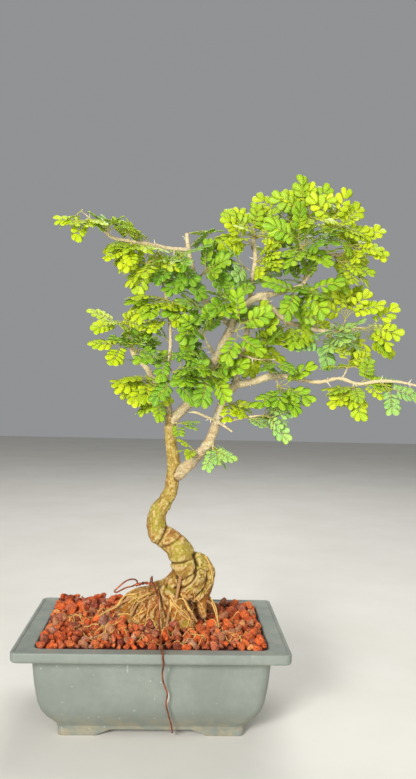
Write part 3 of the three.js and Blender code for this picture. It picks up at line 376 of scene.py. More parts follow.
# Outline of a pinna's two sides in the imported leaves, as (along, away) in parts of its length.
OUTER_SIDE = np.array(
    [(0.23, 0.19), (0.33, 0), (0.36, 0.24), (0.56, 0.24), (0.55, 0), (0.64, 0.24), (0.96, 0.17)]
)
INNER_SIDE = OUTER_SIDE[1:]
RIB_END = 0.8
BLADE = 0.72  # thickness of a blade
PETIOLE = 9.0  # stalk of a leaf up to its pair of pinnae
STALK = 0.7  # half the width of a leaf's stalk
CROTCH = 2.6  # reach of the fork between the two pinnae
PINNA = 35.0  # length of a pinna
RIB = 0.75  # half the width of a pinna's rib
TRIES = 14  # places that a packed spray may have taken
SEAT_RETREAT = 0.05  # the foot stands off by this much more with each of them


def unit(v: Array) -> Array:
    """Vectors of v scaled to length one, along the last axis."""
    return v / np.maximum(np.linalg.norm(v, axis=-1, keepdims=True), 1e-12)


def smoothstep(x: Array | float, low: float, high: float) -> Array:
    """Zero below low, one above high, and an even S between them."""
    t = np.clip((np.asarray(x, float) - low) / (high - low), 0, 1)
    return t * t * (3 - 2 * t)


def lattice_noise(p: Array, seed: int) -> Array:
    """Smooth noise from -1 to 1: values hashed from the corners of unit cells, blended with an S curve.

    Args:
        p: points, (n, 3), one unit to a cell.
        seed: which noise.

    Returns:
        One value for each point.
    """
    cell = np.floor(p).astype(np.int64)
    part = p - cell
    blend = part * part * (3 - 2 * part)
    total = np.zeros(len(p))
    for corner in np.ndindex(2, 2, 2):
        x, y, z = (cell + corner).T
        h = (x * 374761393 + y * 668265263 + z * 2246822519 + seed * 3266489917) & 0xFFFFFFFF
        h = ((h ^ (h >> 13)) * 1274126177) & 0xFFFFFFFF
        h = (h ^ (h >> 16)) / 0xFFFFFFFF
        total += h * np.prod(np.where(np.array(corner) == 1, blend, 1 - blend), axis=1)
    return 2 * total - 1


def layered_noise(p: Array, seed: int, layers: int = 3) -> Array:
    """Sum of lattice noises, each twice as fine and half as strong as the one before."""
    return sum(lattice_noise(p * 2**k, seed + k) / 2**k for k in range(layers))


@dataclass(frozen=True)
class RowFrame:
    """Place of the pot's own frame in the model's frame."""

    shift: tuple[float, float]

    def place(self, points: Array) -> Array:
        """Points in millimetres in the pot's frame as metres in the model's frame."""
        return (np.asarray(points, float) + [self.shift[0], self.shift[1], 0]) * MM

    def back(self, points: Array) -> Array:
        """Points in metres in the model's frame as millimetres in the pot's frame."""
        return np.asarray(points, float) / MM - [self.shift[0], self.shift[1], 0]


@dataclass
class Skin:
    """Surface in millimetres: points, faces by count of corners, and values painted on the points."""

    points: Array
    faces: list[Array]
    paint: dict[str, Array] = field(default_factory=dict)

    @staticmethod
    def joined(skins: list["Skin"]) -> "Skin":
        """One skin out of several, with zero where one of them lacks a painted value.

        Args:
            skins: the surfaces.

        Returns:
            The one surface.
        """
        names = sorted({name for skin in skins for name in skin.paint})
        starts = np.cumsum([0] + [len(skin.points) for skin in skins])
        values = {n: np.concatenate([s.paint.get(n, np.zeros(len(s.points))) for s in skins]) for n in names}
        faces = [f + start for skin, start in zip(skins, starts) for f in skin.faces]
        return Skin(np.concatenate([s.points for s in skins]), faces, values)

    def mesh(self, name: str, frame: RowFrame | None = None) -> bpy.types.Mesh:
        """Blender mesh of the skin, in the model's frame where one is given.

        Args:
            name: name of the mesh.
            frame: place of the pot's frame, or None to keep millimetres.

        Returns:
            The mesh, with each painted value as a point attribute.
        """
        points = frame.place(self.points) if frame else self.points
        corners = np.concatenate([f.ravel() for f in self.faces])
        sizes = np.concatenate([np.full(len(f), f.shape[1]) for f in self.faces])
        mesh = bpy.data.meshes.new(name)
        mesh.vertices.add(len(points))
        mesh.vertices.foreach_set("co", points.astype(np.float32).ravel())
        mesh.loops.add(len(corners))
        mesh.loops.foreach_set("vertex_index", corners.astype(np.int32))
        mesh.polygons.add(len(sizes))
        mesh.polygons.foreach_set("loop_start", (np.cumsum(sizes) - sizes).astype(np.int32))
        mesh.update(calc_edges=True)
        mesh.validate()
        mesh.shade_smooth()
        for key, values in self.paint.items():
            mesh.attributes.new(key, "FLOAT", "POINT").data.foreach_set("value", values.astype(np.float32))
        return mesh


@dataclass
class Workshop:
    """What every class needs to set its pieces into the scene."""

    frame: RowFrame
    finishes: dict[str, bpy.types.Material]

    def show(self, shape: Skin | bpy.types.Mesh, name: str, finish: str,
             replaces: tuple[str, ...] = (), sharp: float = math.inf) -> bpy.types.Object:
        """Makes a piece of a shape, dresses it and rides it on the body.

        Args:
            shape: a surface, or a mesh that is already in the model's frame.
            name: name of the piece.
            finish: key of its finish.
            replaces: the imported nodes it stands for.
            sharp: angle in degrees past which an edge is crisp.

        Returns:
            The piece's object.
        """
        mesh = shape.mesh(name, self.frame) if isinstance(shape, Skin) else shape
        if sharp < math.inf:
            mesh.set_sharp_from_angle(angle=math.radians(sharp))
        mesh.materials.clear()
        mesh.materials.append(self.finishes[finish])
        piece = bpy.data.objects.new(name, mesh)
        bpy.context.scene.collection.objects.link(piece)
        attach(piece, "root")
        if replaces:
            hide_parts(*replaces)
        LOG.info("%s: %d faces, finish %s", name, len(mesh.polygons), finish)
        return piece


def ring_faces(rings: int, sides: int, first: int = 0) -> list[Array]:
    """Faces of a closed tube of rings: quads between neighbours and one cap at each end, all outward.

    Args:
        rings: how many rings of points.
        sides: points in each.
        first: number of the first point.

    Returns:
        The four-sided faces and the two ends, as rows of point numbers.
    """
    r, c = np.meshgrid(np.arange(rings - 1), np.arange(sides), indexing="ij")
    a, b = r * sides + c, r * sides + (c + 1) % sides
    quads = np.stack([a, b, b + sides, a + sides], -1).reshape(-1, 4) + first
    start, end = np.arange(sides)[::-1] + first, np.arange(sides) + first + (rings - 1) * sides
    return [quads, start[None], end[None]]


def smooth_route(route: Array, step: float) -> Array:
    """Route resampled on a smooth curve: cubic pieces over knots at the square root of each chord, whose
    slopes are the slopes of the parabolas through neighbouring points.

    Args:
        route: points with any further values, (n, k); the first three columns are the place.
        step: spacing wanted between the new points.

    Returns:
        The resampled rows, (m, k).
    """
    route = np.asarray(route, float)
    chords = np.linalg.norm(np.diff(route[:, :3], axis=0), axis=1)
    knots = np.concatenate([[0], np.cumsum(np.sqrt(chords))])
    if len(route) < 3:
        count = max(2, int(chords.sum() / step) + 1)
        return route[0] + (route[-1] - route[0]) * np.linspace(0, 1, count)[:, None]
    slopes = np.gradient(route, knots, axis=0)
    counts = np.maximum(2, np.ceil(chords / step).astype(int))
    parts = [np.linspace(*knots[i : i + 2], n, endpoint=False) for i, n in enumerate(counts)]
    t = np.append(np.concatenate(parts), knots[-1])
    span = np.clip(np.searchsorted(knots, t, side="right") - 1, 0, len(knots) - 2)
    width = (knots[span + 1] - knots[span])[:, None]
    s = (t[:, None] - knots[span][:, None]) / width
    return (route[span] * (2 * s**3 - 3 * s**2 + 1) + slopes[span] * width * (s**3 - 2 * s**2 + s)
            + route[span + 1] * (3 * s**2 - 2 * s**3) + slopes[span + 1] * width * (s**3 - s**2))


@dataclass
class Path:
    """Line of centres with a frame carried along it without twist."""

    centres: Array
    along: Array
    side: Array
    other: Array
    length: Array

    @staticmethod
    def of(centres: Array) -> "Path":
        """Path through centres: the side vector of each ring is the one before it, turned as little as the
        tangent turns.

        Args:
            centres: points of the line.

        Returns:
            The path.
        """
        along = unit(np.gradient(centres, axis=0))
        side = np.empty_like(along)
        start = np.cross(along[0], [0, 1, 0] if abs(along[0, 1]) < 0.9 else [1, 0, 0])
        for k in range(len(centres)):
            start = unit(start - along[k] * (start @ along[k]))
            side[k] = start
        steps = np.linalg.norm(np.diff(centres, axis=0), axis=1)
        return Path(centres, along, side, np.cross(along, side), np.concatenate([[0], np.cumsum(steps)]))


def held(rows: Array, times: int) -> Array:
    """Rows with the first and the last of them repeated so many times more."""
    return np.concatenate([rows[:1]] * times + [rows] + [rows[-1:]] * times)


def tube(route: Array, radii: Array, sides: int, dome: float = 1.0) -> Skin:
    """Closed tube along a route, whose two ends are rounded over by three shrinking rings.

    Args:
        route: centres, (n, 3).
        radii: radius at each centre.
        sides: points round it.
        dome: height of the rounded ends in radii.

    Returns:
        The tube, painted with the distance along it.
    """
    path = Path.of(np.asarray(route, float))
    turn = np.radians([80, 52, 25])
    ends = []
    for at, way in ((0, -1), (-1, 1)):
        push = path.along[at] * radii[at] * dome * way
        ends.append((path.centres[at] + np.sin(turn)[:, None] * push, radii[at] * np.cos(turn)))
    (start, thin), (end, fine) = ends
    centres = np.concatenate([start, path.centres, end[::-1]])
    reach = np.concatenate([thin, radii, fine[::-1]])
    frames = (path.along, path.side, path.other, path.length)
    full = Path(centres, *(held(rows, len(turn)) for rows in frames))
    angle = np.linspace(0, 2 * np.pi, sides, endpoint=False)[:, None]
    around = full.side[:, None] * np.cos(angle) + full.other[:, None] * np.sin(angle)
    points = (centres[:, None] + around * reach[:, None, None]).reshape(-1, 3)
    return Skin(points, ring_faces(len(centres), sides), {"along": np.repeat(full.length, sides)})


def applied(source: bpy.types.Object) -> bpy.types.Mesh:
    """Mesh of an object with its modifiers applied; the object itself is deleted.

    Args:
        source: object with modifiers.

    Returns:
        Its mesh with them applied; the object is gone.
    """
    bpy.context.view_layer.update()
    mesh = bpy.data.meshes.new_from_object(source.evaluated_get(bpy.context.evaluated_depsgraph_get()))
    old = source.data
    bpy.data.objects.remove(source)
    bpy.data.meshes.remove(old)
    return mesh


def temporary(mesh: bpy.types.Mesh) -> bpy.types.Object:
    """Object for work on a mesh that isn't shown in the end.

    Args:
        mesh: its mesh.

    Returns:
        The object.
    """
    made = bpy.data.objects.new(mesh.name + "_work", mesh)
    bpy.context.scene.collection.objects.link(made)
    return made


@dataclass
class Pot:
    """Rectangular training pot: flared rim with a raised bead, tapering body, four feet, two drain holes.

    The profile gives half length, corner radius, height and fillet of each edge of the wall, up the outside
    and down the inside.
    """

    half_length: float = 127.5
    half_depth: float = 94.0
    underside: float = 7.0
    corner_points: int = 9
    foot_half: float = 88.5
    foot_flat: tuple[float, float] = (32.0, 20.0)
    foot_slope: tuple[float, float] = (20.0, 14.0)
    foot_wall: float = 7.0
    foot_rise: float = 6.0
    drain_x: float = 45.0
    drain_radius: float = 6.0
    profile: tuple[tuple[float, float, float, float], ...] = (
        (90.5, 14, 7, 0), (91.5, 14, 10.6, 0.8), (93.2, 14, 12.5, 1.5), (99.3, 14, 19.6, 5),
        (104.2, 13, 27.5, 5), (106.6, 12, 36, 5), (109.3, 11, 54, 8), (111.5, 10, 81, 0.5),
        (126.4, 6, 81, 1.0), (127.5, 6.5, 83, 1.2), (127.5, 6.5, 90.5, 1.1), (124.8, 5, 90.5, 0.9),
        (123.8, 4.5, 89.2, 0.5), (109.4, 9, 89.2, 1.2), (108.2, 9, 84, 1.0), (106.8, 10, 60, 8),
        (104, 11, 38, 5), (101, 12, 27.5, 5), (95.5, 13, 17.5, 3), (87, 12, 10, 1),
    )

    def ring(self, half: Array, radius: Array, height: Array) -> Array:
        """Rounded rectangles, one a row: quarter circles about the corners with straight runs between them.

        Args:
            half: half length of each ring; its half depth is shorter by the same amount everywhere.
            radius: corner radius of each ring.
            height: height of each ring.

        Returns:
            Points, (rings, points round, 3), anticlockwise from above.
        """
        short = self.half_length - self.half_depth
        n = self.corner_points
        quarter = np.repeat(np.arange(4), n)
        angle = (quarter + np.tile(np.linspace(0, 1, n), 4)) * np.pi / 2
        sx, sy = np.array([1, -1, -1, 1])[quarter], np.array([1, 1, -1, -1])[quarter]
        x = sx * (half - radius)[:, None] + radius[:, None] * np.cos(angle)
        y = sy * (half - short - radius)[:, None] + radius[:, None] * np.sin(angle)
        corners = np.stack([x, y, np.broadcast_to(height[:, None], x.shape)], -1)
        runs = []
        for k, count in enumerate((16, 10, 16, 10)):
            edge = corners[:, k * n : (k + 1) * n]
            goal = corners[:, ((k + 1) * n) % (4 * n)]
            part = np.linspace(0, 1, count + 1, endpoint=False)[1:, None]
            runs += [edge, edge[:, -1:] + (goal - edge[:, -1])[:, None] * part]
        return np.concatenate(runs, axis=1)

    def filleted(self) -> Array:
        """Profile with each edge rounded by a parabola that starts and ends one fillet away from it.

        Returns:
            Rows of half length, corner radius and height.
        """
        rows = np.array(self.profile)
        made = [rows[:1, :3]]
        t = np.linspace(0, 1, 5)[:, None]
        for before, edge, after in zip(rows[:-2], rows[1:-1], rows[2:]):
            gaps = [other[:3] - edge[:3] for other in (before, after)]
            start, end = (edge[:3] + gap * min(edge[3] / math.hypot(gap[0], gap[2]), 0.45) for gap in gaps)
            made.append((1 - t) ** 2 * start + 2 * t * (1 - t) * edge[:3] + t**2 * end)
        return np.concatenate([*made, rows[-1:, :3]])

    def shell(self) -> Skin:
        """Wall from the underside up, over the rim and down the inside, closed by both floors.

        Returns:
            The wall.
        """
        half, radius, height = self.filleted().T
        points = self.ring(half, radius, height)
        bow = np.sin(np.pi * np.clip((points[..., 0] / self.half_length + 1) / 2, 0, 1))
        inside = smoothstep(height, 20, 85)[:, None]
        points[..., 1] += 0.5 * inside * bow * np.sign(points[..., 1])
        return Skin(points.reshape(-1, 3), ring_faces(*points.shape[:2]))

    def foot_height(self, gap: Array, flat: float, slope: float) -> Array:
        """Height of a foot's lower edge: on the table, then up in two steps to the underside's strip."""
        t = np.clip((gap - flat) / slope, 0, 1)
        return self.foot_rise * (0.55 * smoothstep(t, 0.12, 0.62) + 0.45 * smoothstep(t, 0.5, 1.0))

    def feet(self) -> Skin:
        """Ring wall under the pot, its lower edge cut away between the corners, which leaves four feet.

        Returns:
            The ring.
        """
        inner = self.foot_half - self.foot_wall
        base = self.ring(np.array([self.foot_half, inner]), np.array([5.0, 2.0]), np.zeros(2))
        runs = (np.roll(base, -1, axis=1) - base)[:, :, None]
        fine = base[:, :, None] + runs * np.linspace(0, 1, 4, endpoint=False)[:, None]
        outer, inside = fine.reshape(2, -1, 3)
        short = self.half_length - self.half_depth
        along, across = self.foot_half - np.abs(outer[:, 0]), self.foot_half - short - np.abs(outer[:, 1])
        feet = zip((along, across), self.foot_flat, self.foot_slope)
        low = np.where(across < 3, *(self.foot_height(*foot) for foot in feet))
        top = self.underside + 1.2
        section = [(0.0, top), (0.0, 0.5), (0.035, 0.12), (0.09, 0.0), (0.91, 0.0), (1.0, 0.5), (1.0, top)]
        rings = []
        for share, level in section:
            at = outer + (inside - outer) * share
            at[:, 2] = top if level == top else low + level
            rings.append(at)
        loop = np.stack(rings, axis=1)
        rows, columns = loop.shape[:2]
        return Skin(loop.reshape(-1, 3), [ring_faces(rows + 1, columns)[0] % (rows * columns)])

    def build(self, shop: Workshop) -> bpy.types.Object:
        """Joins the feet to the shell, drills the drain holes and shows the pot.

        Args:
            shop: takes the pieces in.

        Returns:
            The object.
        """
        body = temporary(self.shell().mesh("pot_shell"))
        tools = [(temporary(self.feet().mesh("pot_feet")), "UNION")]
        for side in (-1, 1):
            x = side * self.drain_x
            centres = np.linspace((x, 0, -20), (x, 0, 20), 3)
            drill = tube(centres, np.full(3, self.drain_radius), 32, dome=0.1)
            tools.append((temporary(drill.mesh("drill")), "DIFFERENCE"))
        for tool, operation in tools:
            cut = body.modifiers.new(operation.lower(), "BOOLEAN")
            cut.operation, cut.object, cut.solver = operation, tool, "EXACT"
        mesh = applied(body)
        for tool, _ in tools:
            bpy.data.objects.remove(tool)
        points = np.empty(len(mesh.vertices) * 3, np.float32)
        mesh.vertices.foreach_get("co", points)
        mesh.vertices.foreach_set("co", shop.frame.place(points.reshape(-1, 3)).astype(np.float32).ravel())
        mesh.shade_smooth()
        mesh.update()
        return shop.show(mesh, "training_pot", "pot_plastic", ("pot",), sharp=38)


@dataclass
class Gravel:
    """Lava gravel: a bed that fills the pot and loose stones settled on it, banked up towards the roots.

    The wall gives half length, corner radius and height of the fill's edges. Sizes are how many stones are
    thrown, with their smallest and largest radius.
    """

    level: float = 90.0
    wall: tuple[tuple[float, float, float], ...] = (
        (87, 12, 11.6), (95, 13, 17.5), (101, 12, 27.5), (104, 11, 38), (106.8, 10, 60), (108.2, 9, 84),
    )
    clearance: float = 0.6
    seed: int = 11
    sizes: tuple[tuple[int, float, float], ...] = ((260, 5.6, 7.4), (2600, 3.9, 5.2), (9000, 2.4, 3.6))
    room: float = 0.8
    facets: int = 11

    def height(self, x: Array, y: Array) -> Array:
        """Level of the gravel: flat at the rim, with a mound about the roots and a bank at the back left."""
        bank = 5 * smoothstep(y, -40, 70) * smoothstep(-x, -70, 90)
        return self.level + 7 * np.exp(-((x / 62) ** 2) - ((y - 6) / 42) ** 2) + bank

    def bed(self, pot: Pot) -> Skin:
        """Fill of the pot: rings up the inner wall, then a rough top of shrinking rings that closes it.

        Args:
            pot: what holds it.

        Returns:
            The closed surface.
        """
        half, radius, height = np.array(self.wall, float).T
        sides = pot.ring(half - self.clearance, radius, height)
        top = sides[-1] * np.linspace(1, 0.02, 46)[:, None, None]
        flat = top.reshape(-1, 3)
        rough = 1.6 * layered_noise(np.column_stack([flat[:, :2] / 6, np.zeros(len(flat))]), self.seed)
        top[..., 2] = (self.height(flat[:, 0], flat[:, 1]) - 3.2 + rough).reshape(top.shape[:2])
        top[0, :, 2] = self.level - 4
        points = np.concatenate([sides[:-1], top])
        # The bed is painted dark: painted shade in the gaps between the stones.
        shaded_bed_tint = np.full(points.shape[0] * points.shape[1], 0.42)
        values = {"stone": shaded_bed_tint, "deep": np.ones_like(shaded_bed_tint)}
        return Skin(points.reshape(-1, 3), ring_faces(*points.shape[:2]), values)

    def places(self, pot: Pot, keep_out: Array) -> Array:
        """Resting places of the stones: thrown at random, large ones first, and kept where they don't crowd.

        Args:
            pot: the pot, whose opening bounds them.
            keep_out: wood inside which no stone may lie, as rows of (x, y, z, radius).

        Returns:
            Rows of (x, y, z, radius).
        """
        draw = np.random.default_rng(self.seed)
        half = np.array([108.2, 108.2 - (pot.half_length - pot.half_depth)]) - self.clearance
        kept = np.empty((0, 4))
        for tries, low, high in self.sizes:
            for radius in draw.uniform(low, high, tries):
                at = draw.uniform(-1, 1, 2) * (half - 0.86 * radius)
                sink = draw.uniform(-0.35, 0.25)
                apart = np.hypot(*(kept[:, :2] - at).T) if len(kept) else np.array([np.inf])
                if len(kept) and np.any(apart < self.room * (kept[:, 3] + radius)):
                    continue
                z = float(self.height(*at)) + sink * radius
                if self.gap([*at, z], keep_out) >= -0.25 * radius:
                    kept = np.vstack([kept, [*at, z, radius]])
        upper = []
        for radius in draw.uniform(2.6, 5.4, 330):
            at = draw.uniform(-1, 1, 2) * (half - 1.4 * radius)
            z = float(self.height(*at)) + 0.75 * radius + 1.5
            favour = 0.25 + 0.75 * smoothstep(at[1], -30, 60) * smoothstep(-at[0], -60, 60)
            if self.gap([*at, z], keep_out) > -0.2 * radius and draw.random() < favour:
                upper.append([*at, z, radius])
        return np.vstack([kept, upper])

    @staticmethod
    def gap(place: list[float], keep_out: Array) -> float:
        """Gap between a place and the nearest of the spheres, below zero inside it."""
        return (np.linalg.norm(keep_out[:, :3] - place, axis=1) - keep_out[:, 3]).min()

    def stones(self, places: Array) -> Skin:
        """Stones as broken lumps: in each direction the surface lies on the nearest of a few random planes,
        drawn out along three axes and turned at random.

        Args:
            places: rows of (x, y, z, radius).

        Returns:
            All the stones, painted with a random value for each.
        """
        draw = np.random.default_rng(self.seed + 1)
        ways, faces = ball()
        count = len(places)
        planes = unit(draw.normal(size=(count, self.facets, 3)))
        reach = draw.uniform(0.6, 1.0, (count, self.facets))
        facing = np.einsum("vk,nfk->nvf", ways, planes)
        radius = np.min(np.where(facing > 0.2, reach[:, None] / np.maximum(facing, 0.2), 1.22), axis=2)
        radius *= 1 + draw.uniform(-0.1, 0.08, radius.shape)
        stretch = draw.uniform([0.88, 0.78, 0.66], [1.22, 1.02, 0.92], (count, 3))
        shape = ways * radius[..., None] * stretch[:, None]
        turns, _ = np.linalg.qr(draw.normal(size=(count, 3, 3)))
        turns *= np.sign(np.linalg.det(turns))[:, None, None]
        points = places[:, None, :3] + np.einsum("nvk,nkj->nvj", shape, turns) * places[:, None, 3:]
        index = faces[None] + (np.arange(count) * len(ways))[:, None, None]
        tint = np.repeat(draw.random(count), len(ways))
        return Skin(points.reshape(-1, 3), [index.reshape(-1, 3)], {"stone": tint})

    def build(self, shop: Workshop, pot: Pot, keep_out: Array) -> bpy.types.Object:
        """Shows the bed with its stones as one piece.

        Args:
            shop: takes the pieces in.
            pot: what holds it.
            keep_out: spheres of wood, rows of middle and radius.

        Returns:
            The object.
        """
        stones = self.stones(self.places(pot, keep_out))
        LOG.info("gravel: %d stones", len(stones.points) // 42)
        skin = Skin.joined([self.bed(pot), stones])
        return shop.show(skin, "lava_gravel_bed", "lava", ("lava_gravel",), sharp=36)


def ball() -> tuple[Array, Array]:
    """Unit directions and outward triangles of an icosahedron whose edges are halved once: 42 and 80.

    Returns:
        Its points, rows of x, y and z, and its faces, rows of point numbers.
    """
    gold = (1 + math.sqrt(5)) / 2
    corner = np.array([(0, s, t * gold) for s in (-1, 1) for t in (-1, 1)], float)
    points = np.concatenate([np.roll(corner, k, axis=1) for k in range(3)])
    triples = np.array(list(combinations(range(12), 3)))
    edges = np.linalg.norm(points[triples] - points[np.roll(triples, 1, axis=1)], axis=2)
    faces = triples[np.all(edges < 2.1, axis=1)]
    a, b, c = np.moveaxis(points[faces], 1, 0)
    inward = np.einsum("ij,ij->i", np.cross(b - a, c - a), a) < 0
    faces[inward] = faces[inward][:, ::-1]
    pairs = np.sort(np.stack([faces, np.roll(faces, -1, axis=1)], -1).reshape(-1, 2), axis=1)
    unique, which = np.unique(pairs, axis=0, return_inverse=True)
    middle = which.reshape(-1, 3) + 12
    points = np.concatenate([points, points[unique].mean(axis=1)])
    (i, j, k), (p, q, r) = faces.T, middle.T
    small = [(i, p, r), (p, j, q), (r, q, k), (p, q, r)]
    return unit(points), np.concatenate([np.stack(t, axis=1) for t in small])


@dataclass
class Wood:
    """Fused root base, leaning trunk, limbs, twigs and spines, grown together as one piece."""

    voxel: float = 1.03
    twig_radius: float = 1.3
    spine_length: float = 5.5
    spine_spacing: float = 26.0
    node_spacing: float = 13.0
    seed: int = 5

    @cached_property
    def routes(self) -> list[tuple[Array, float]]:
        """Each thick limb's smoothed route with how much of a root it is: 1 a root, 0 a branch."""
        kinds = (([TRUNK], 0.45), (LIMBS.values(), 0.0), (ROOTS.values(), 1.0))
        return [(smooth_route(route, 1.6), root) for routes, root in kinds for route in routes]

    def keep_out(self) -> Array:
        """Centres and radii of the roots, for the gravel to lie round."""
        routes = [smooth_route(route, 3.0) for route in [*ROOTS.values(), *FINE_ROOTS]]
        return np.concatenate([*routes, np.array(SWELLINGS, float)])

    def fused(self) -> tuple[Array, Array]:
        """All thick limbs as one surface, remeshed on a grid of voxels.

        Returns:
            Points in millimetres and quads.
        """
        parts = [tube(r[:, :3], np.maximum(r[:, 3], 0.9), 20, 0.7) for r, _ in self.routes]
        for x, y, z, radius in SWELLINGS:
            parts.append(tube(np.array([[x, y, z - 0.1], [x, y, z + 0.1]]), np.full(2, radius), 20, 1.0))
        work = temporary(Skin.joined(parts).mesh("limbs"))
        join = work.modifiers.new("join", "REMESH")
        join.mode, join.voxel_size = "VOXEL", self.voxel
        mesh = applied(work)
        points = np.empty(len(mesh.vertices) * 3)
        mesh.vertices.foreach_get("co", points)
        quads = np.empty(len(mesh.loops), np.int32)
        mesh.loops.foreach_get("vertex_index", quads)
        bpy.data.meshes.remove(mesh)
        return points.reshape(-1, 3), quads.reshape(-1, 4)

    @staticmethod
    def eased(points: Array, quads: Array, rounds: int, share: float) -> Array:
        """Points moved a share of the way to the mean of their neighbours, several times over.

        Args:
            points: points of the surface.
            quads: its faces.
            rounds: how many times.
            share: part of the way to the mean of the neighbours.

        Returns:
            The points moved.
        """
        edges = np.concatenate([quads[:, [k, (k + 1) % 4]] for k in range(4)])
        degree = np.bincount(edges[:, 0], minlength=len(points))[:, None]
        for _ in range(rounds):
            near = [np.bincount(edges[:, 0], points[edges[:, 1], k], len(points)) for k in range(3)]
            points = points + share * (np.stack(near, 1) / degree - points)
        return points

    @staticmethod
    def normals(points: Array, quads: Array) -> Array:
        """Unit normal at each point: the sum of the cross products of its quads' diagonals.

        Args:
            points: points of the surface.
            quads: its faces.

        Returns:
            A direction for each point.
        """
        a, b, c, d = points[quads].transpose(1, 0, 2)
        face = np.cross(c - a, d - b)
        total = [np.bincount(quads.ravel(), np.repeat(face[:, k], 4), len(points)) for k in range(3)]
        return unit(np.stack(total, 1))

    def limb_field(self, points: Array) -> dict[str, Array]:
        """Which limb each point belongs to, how far along it and round it, and how thick it is there.

        The owner is the ring whose sphere the point lies nearest to.

        Args:
            points: points of the surface.

        Returns:
            Values of every point by name.
        """
        routes = self.routes
        paths = [Path.of(route[:, :3]) for route, _ in routes]
        names = ("centres", "along", "side", "other", "length")
        centres, along, side, other, arc = (np.concatenate([getattr(p, n) for p in paths]) for n in names)
        radius = np.concatenate([r[:, 3] for r, _ in routes])
        owner = np.repeat(np.arange(len(routes)), [len(r) for r, _ in routes])
        kind = np.array([k for _, k in routes])[owner]
        starts = np.flatnonzero(np.diff(owner, prepend=-1))
        big = np.maximum.reduceat(radius, starts) > 5
        nearest, seam = np.empty(len(points), int), np.empty(len(points))
        for part in np.array_split(np.arange(len(points)), max(1, len(points) // 8000)):
            p = points[part]
            square = (p**2).sum(1)[:, None] + (centres**2).sum(1) - 2 * p @ centres.T
            depth = np.sqrt(np.maximum(square, 0)) - radius
            nearest[part] = np.argmin(depth, axis=1)
            by_limb = np.sort(np.minimum.reduceat(depth, starts, axis=1)[:, big], axis=1)
            seam[part] = by_limb[:, 1] - by_limb[:, 0]
        away = points - centres[nearest]
        return {
            "along": arc[nearest] + (away * along[nearest]).sum(1),
            "turn": np.arctan2((away * other[nearest]).sum(1), (away * side[nearest]).sum(1)),
            "radius": radius[nearest],
            "owner": owner[nearest].astype(float),
            "root": kind[nearest],
            "seam": seam,
        }

    def barked(self, points: Array, quads: Array) -> Skin:
        """Fused surface with its bark: lumps in space, ridges along each limb and rings at its nodes.

        The ridges are noise read at (distance round, distance along, limb), several times longer than wide.

        Args:
            points: points of the surface.
            quads: its faces.

        Returns:
            The surface with its painted values.
        """
        points = self.eased(points, quads, 3, 0.55)
        where = self.limb_field(points)
        root, radius, turn, along, owner = (where[k] for k in ("root", "radius", "turn", "along", "owner"))
        normal = self.normals(points, quads)
        grain = np.column_stack([np.cos(turn) * radius / 1.9, np.sin(turn) * radius / 1.9, along / 14])
        ridges = layered_noise(grain + owner[:, None] * 7.3, self.seed, 3)
        furrow = np.abs(layered_noise(grain * [0.55, 0.55, 0.8] + owner[:, None] * 3.1, self.seed + 9, 2))
        lumps = layered_noise(points / 8.5, self.seed + 20, 3)
        pits = layered_noise(points / 2.6, self.seed + 31, 2)
        knots = np.exp(-(((along + 3 * np.sin(owner)) % self.node_spacing - 6.5) / 1.5) ** 2)
        thick = smoothstep(radius, 1.6, 9)
        aged = smoothstep(root, 0.2, 0.45)
        relief = (0.08 + 0.2 * thick * root) * ridges - 0.5 * thick * root * np.exp(-((furrow / 0.07) ** 2))
        relief += (0.12 + 0.7 * thick) * lumps + 0.32 * knots * (1 - thick) * smoothstep(radius, 1.2, 2.2)
        relief += 0.34 * thick * pits
        worn = 1 + 0.35 * lumps
        relief -= 0.8 * worn * aged * smoothstep(radius, 4, 7) * np.exp(-((where["seam"] / 1.3) ** 2))
        relief -= self.creased(points, normal, worn)
        shaped = points + normal * relief[:, None]
        # How far each point lies in a hollow (above zero) or on a bulge (below zero); the bark finish paints
        # shade into the hollows and highlights on the bulges from it.
        hollow = ((self.eased(shaped, quads, 6, 0.6) - shaped) * normal).sum(1)
        values = {
            "moss": self.stained(points, normal, pits, MOSS),
            "rust": self.stained(points, normal, pits, RUST),
            "root": smoothstep(points[:, 2] + 7 * lumps, 150, 116),
            "thick": thick,
            "hollow": np.clip(hollow / 0.55, -1, 1),
            "along": along,
            "around": turn * np.maximum(radius, 2),
            "owner": owner,
        }
        return Skin(shaped, [quads], values)

    @staticmethod
    def stained(points: Array, normal: Array, rough: Array, spots: Route) -> Array:
        """Share of a stain on the front: round spots (x, z, radius), their soft edges broken up by noise."""
        near = np.min([np.hypot(points[:, 0] - x, points[:, 2] - z) / r for x, z, r in spots], axis=0)
        return smoothstep(near + 0.7 * rough, 1.2, 0.3) * smoothstep(-normal[:, 1], -0.3, 0.3)

    @staticmethod
    def creased(points: Array, normal: Array, worn: Array) -> Array:
        """Depth of the drawn creases: a bell curve of the distance, seen from the front, to the nearest
        point of each, with raised lips beside it, which fades where the wood turns from the front.

        Args:
            points: points of the surface.
            normal: its directions.
            worn: noise that bends them.

        Returns:
            Depth at each point.
        """
        front = smoothstep(-normal[:, 1], -0.35, 0.25) * worn
        depth = np.zeros(len(points))
        for deep, route in CREASES:
            line = smooth_route([(x, 0.0, z) for x, z in route], 1.0)
            near = np.hypot(points[:, :1] - line[:, 0], points[:, 2:] - line[:, 2]).min(axis=1)
            lips = 0.4 * deep * np.exp(-(((near - 4.5) / 2.6) ** 2))
            deeper = np.maximum(depth, deep * np.exp(-((near / 1.35) ** 2)))
            depth = np.where(near < 10, deeper - lips, depth)
        return depth * front

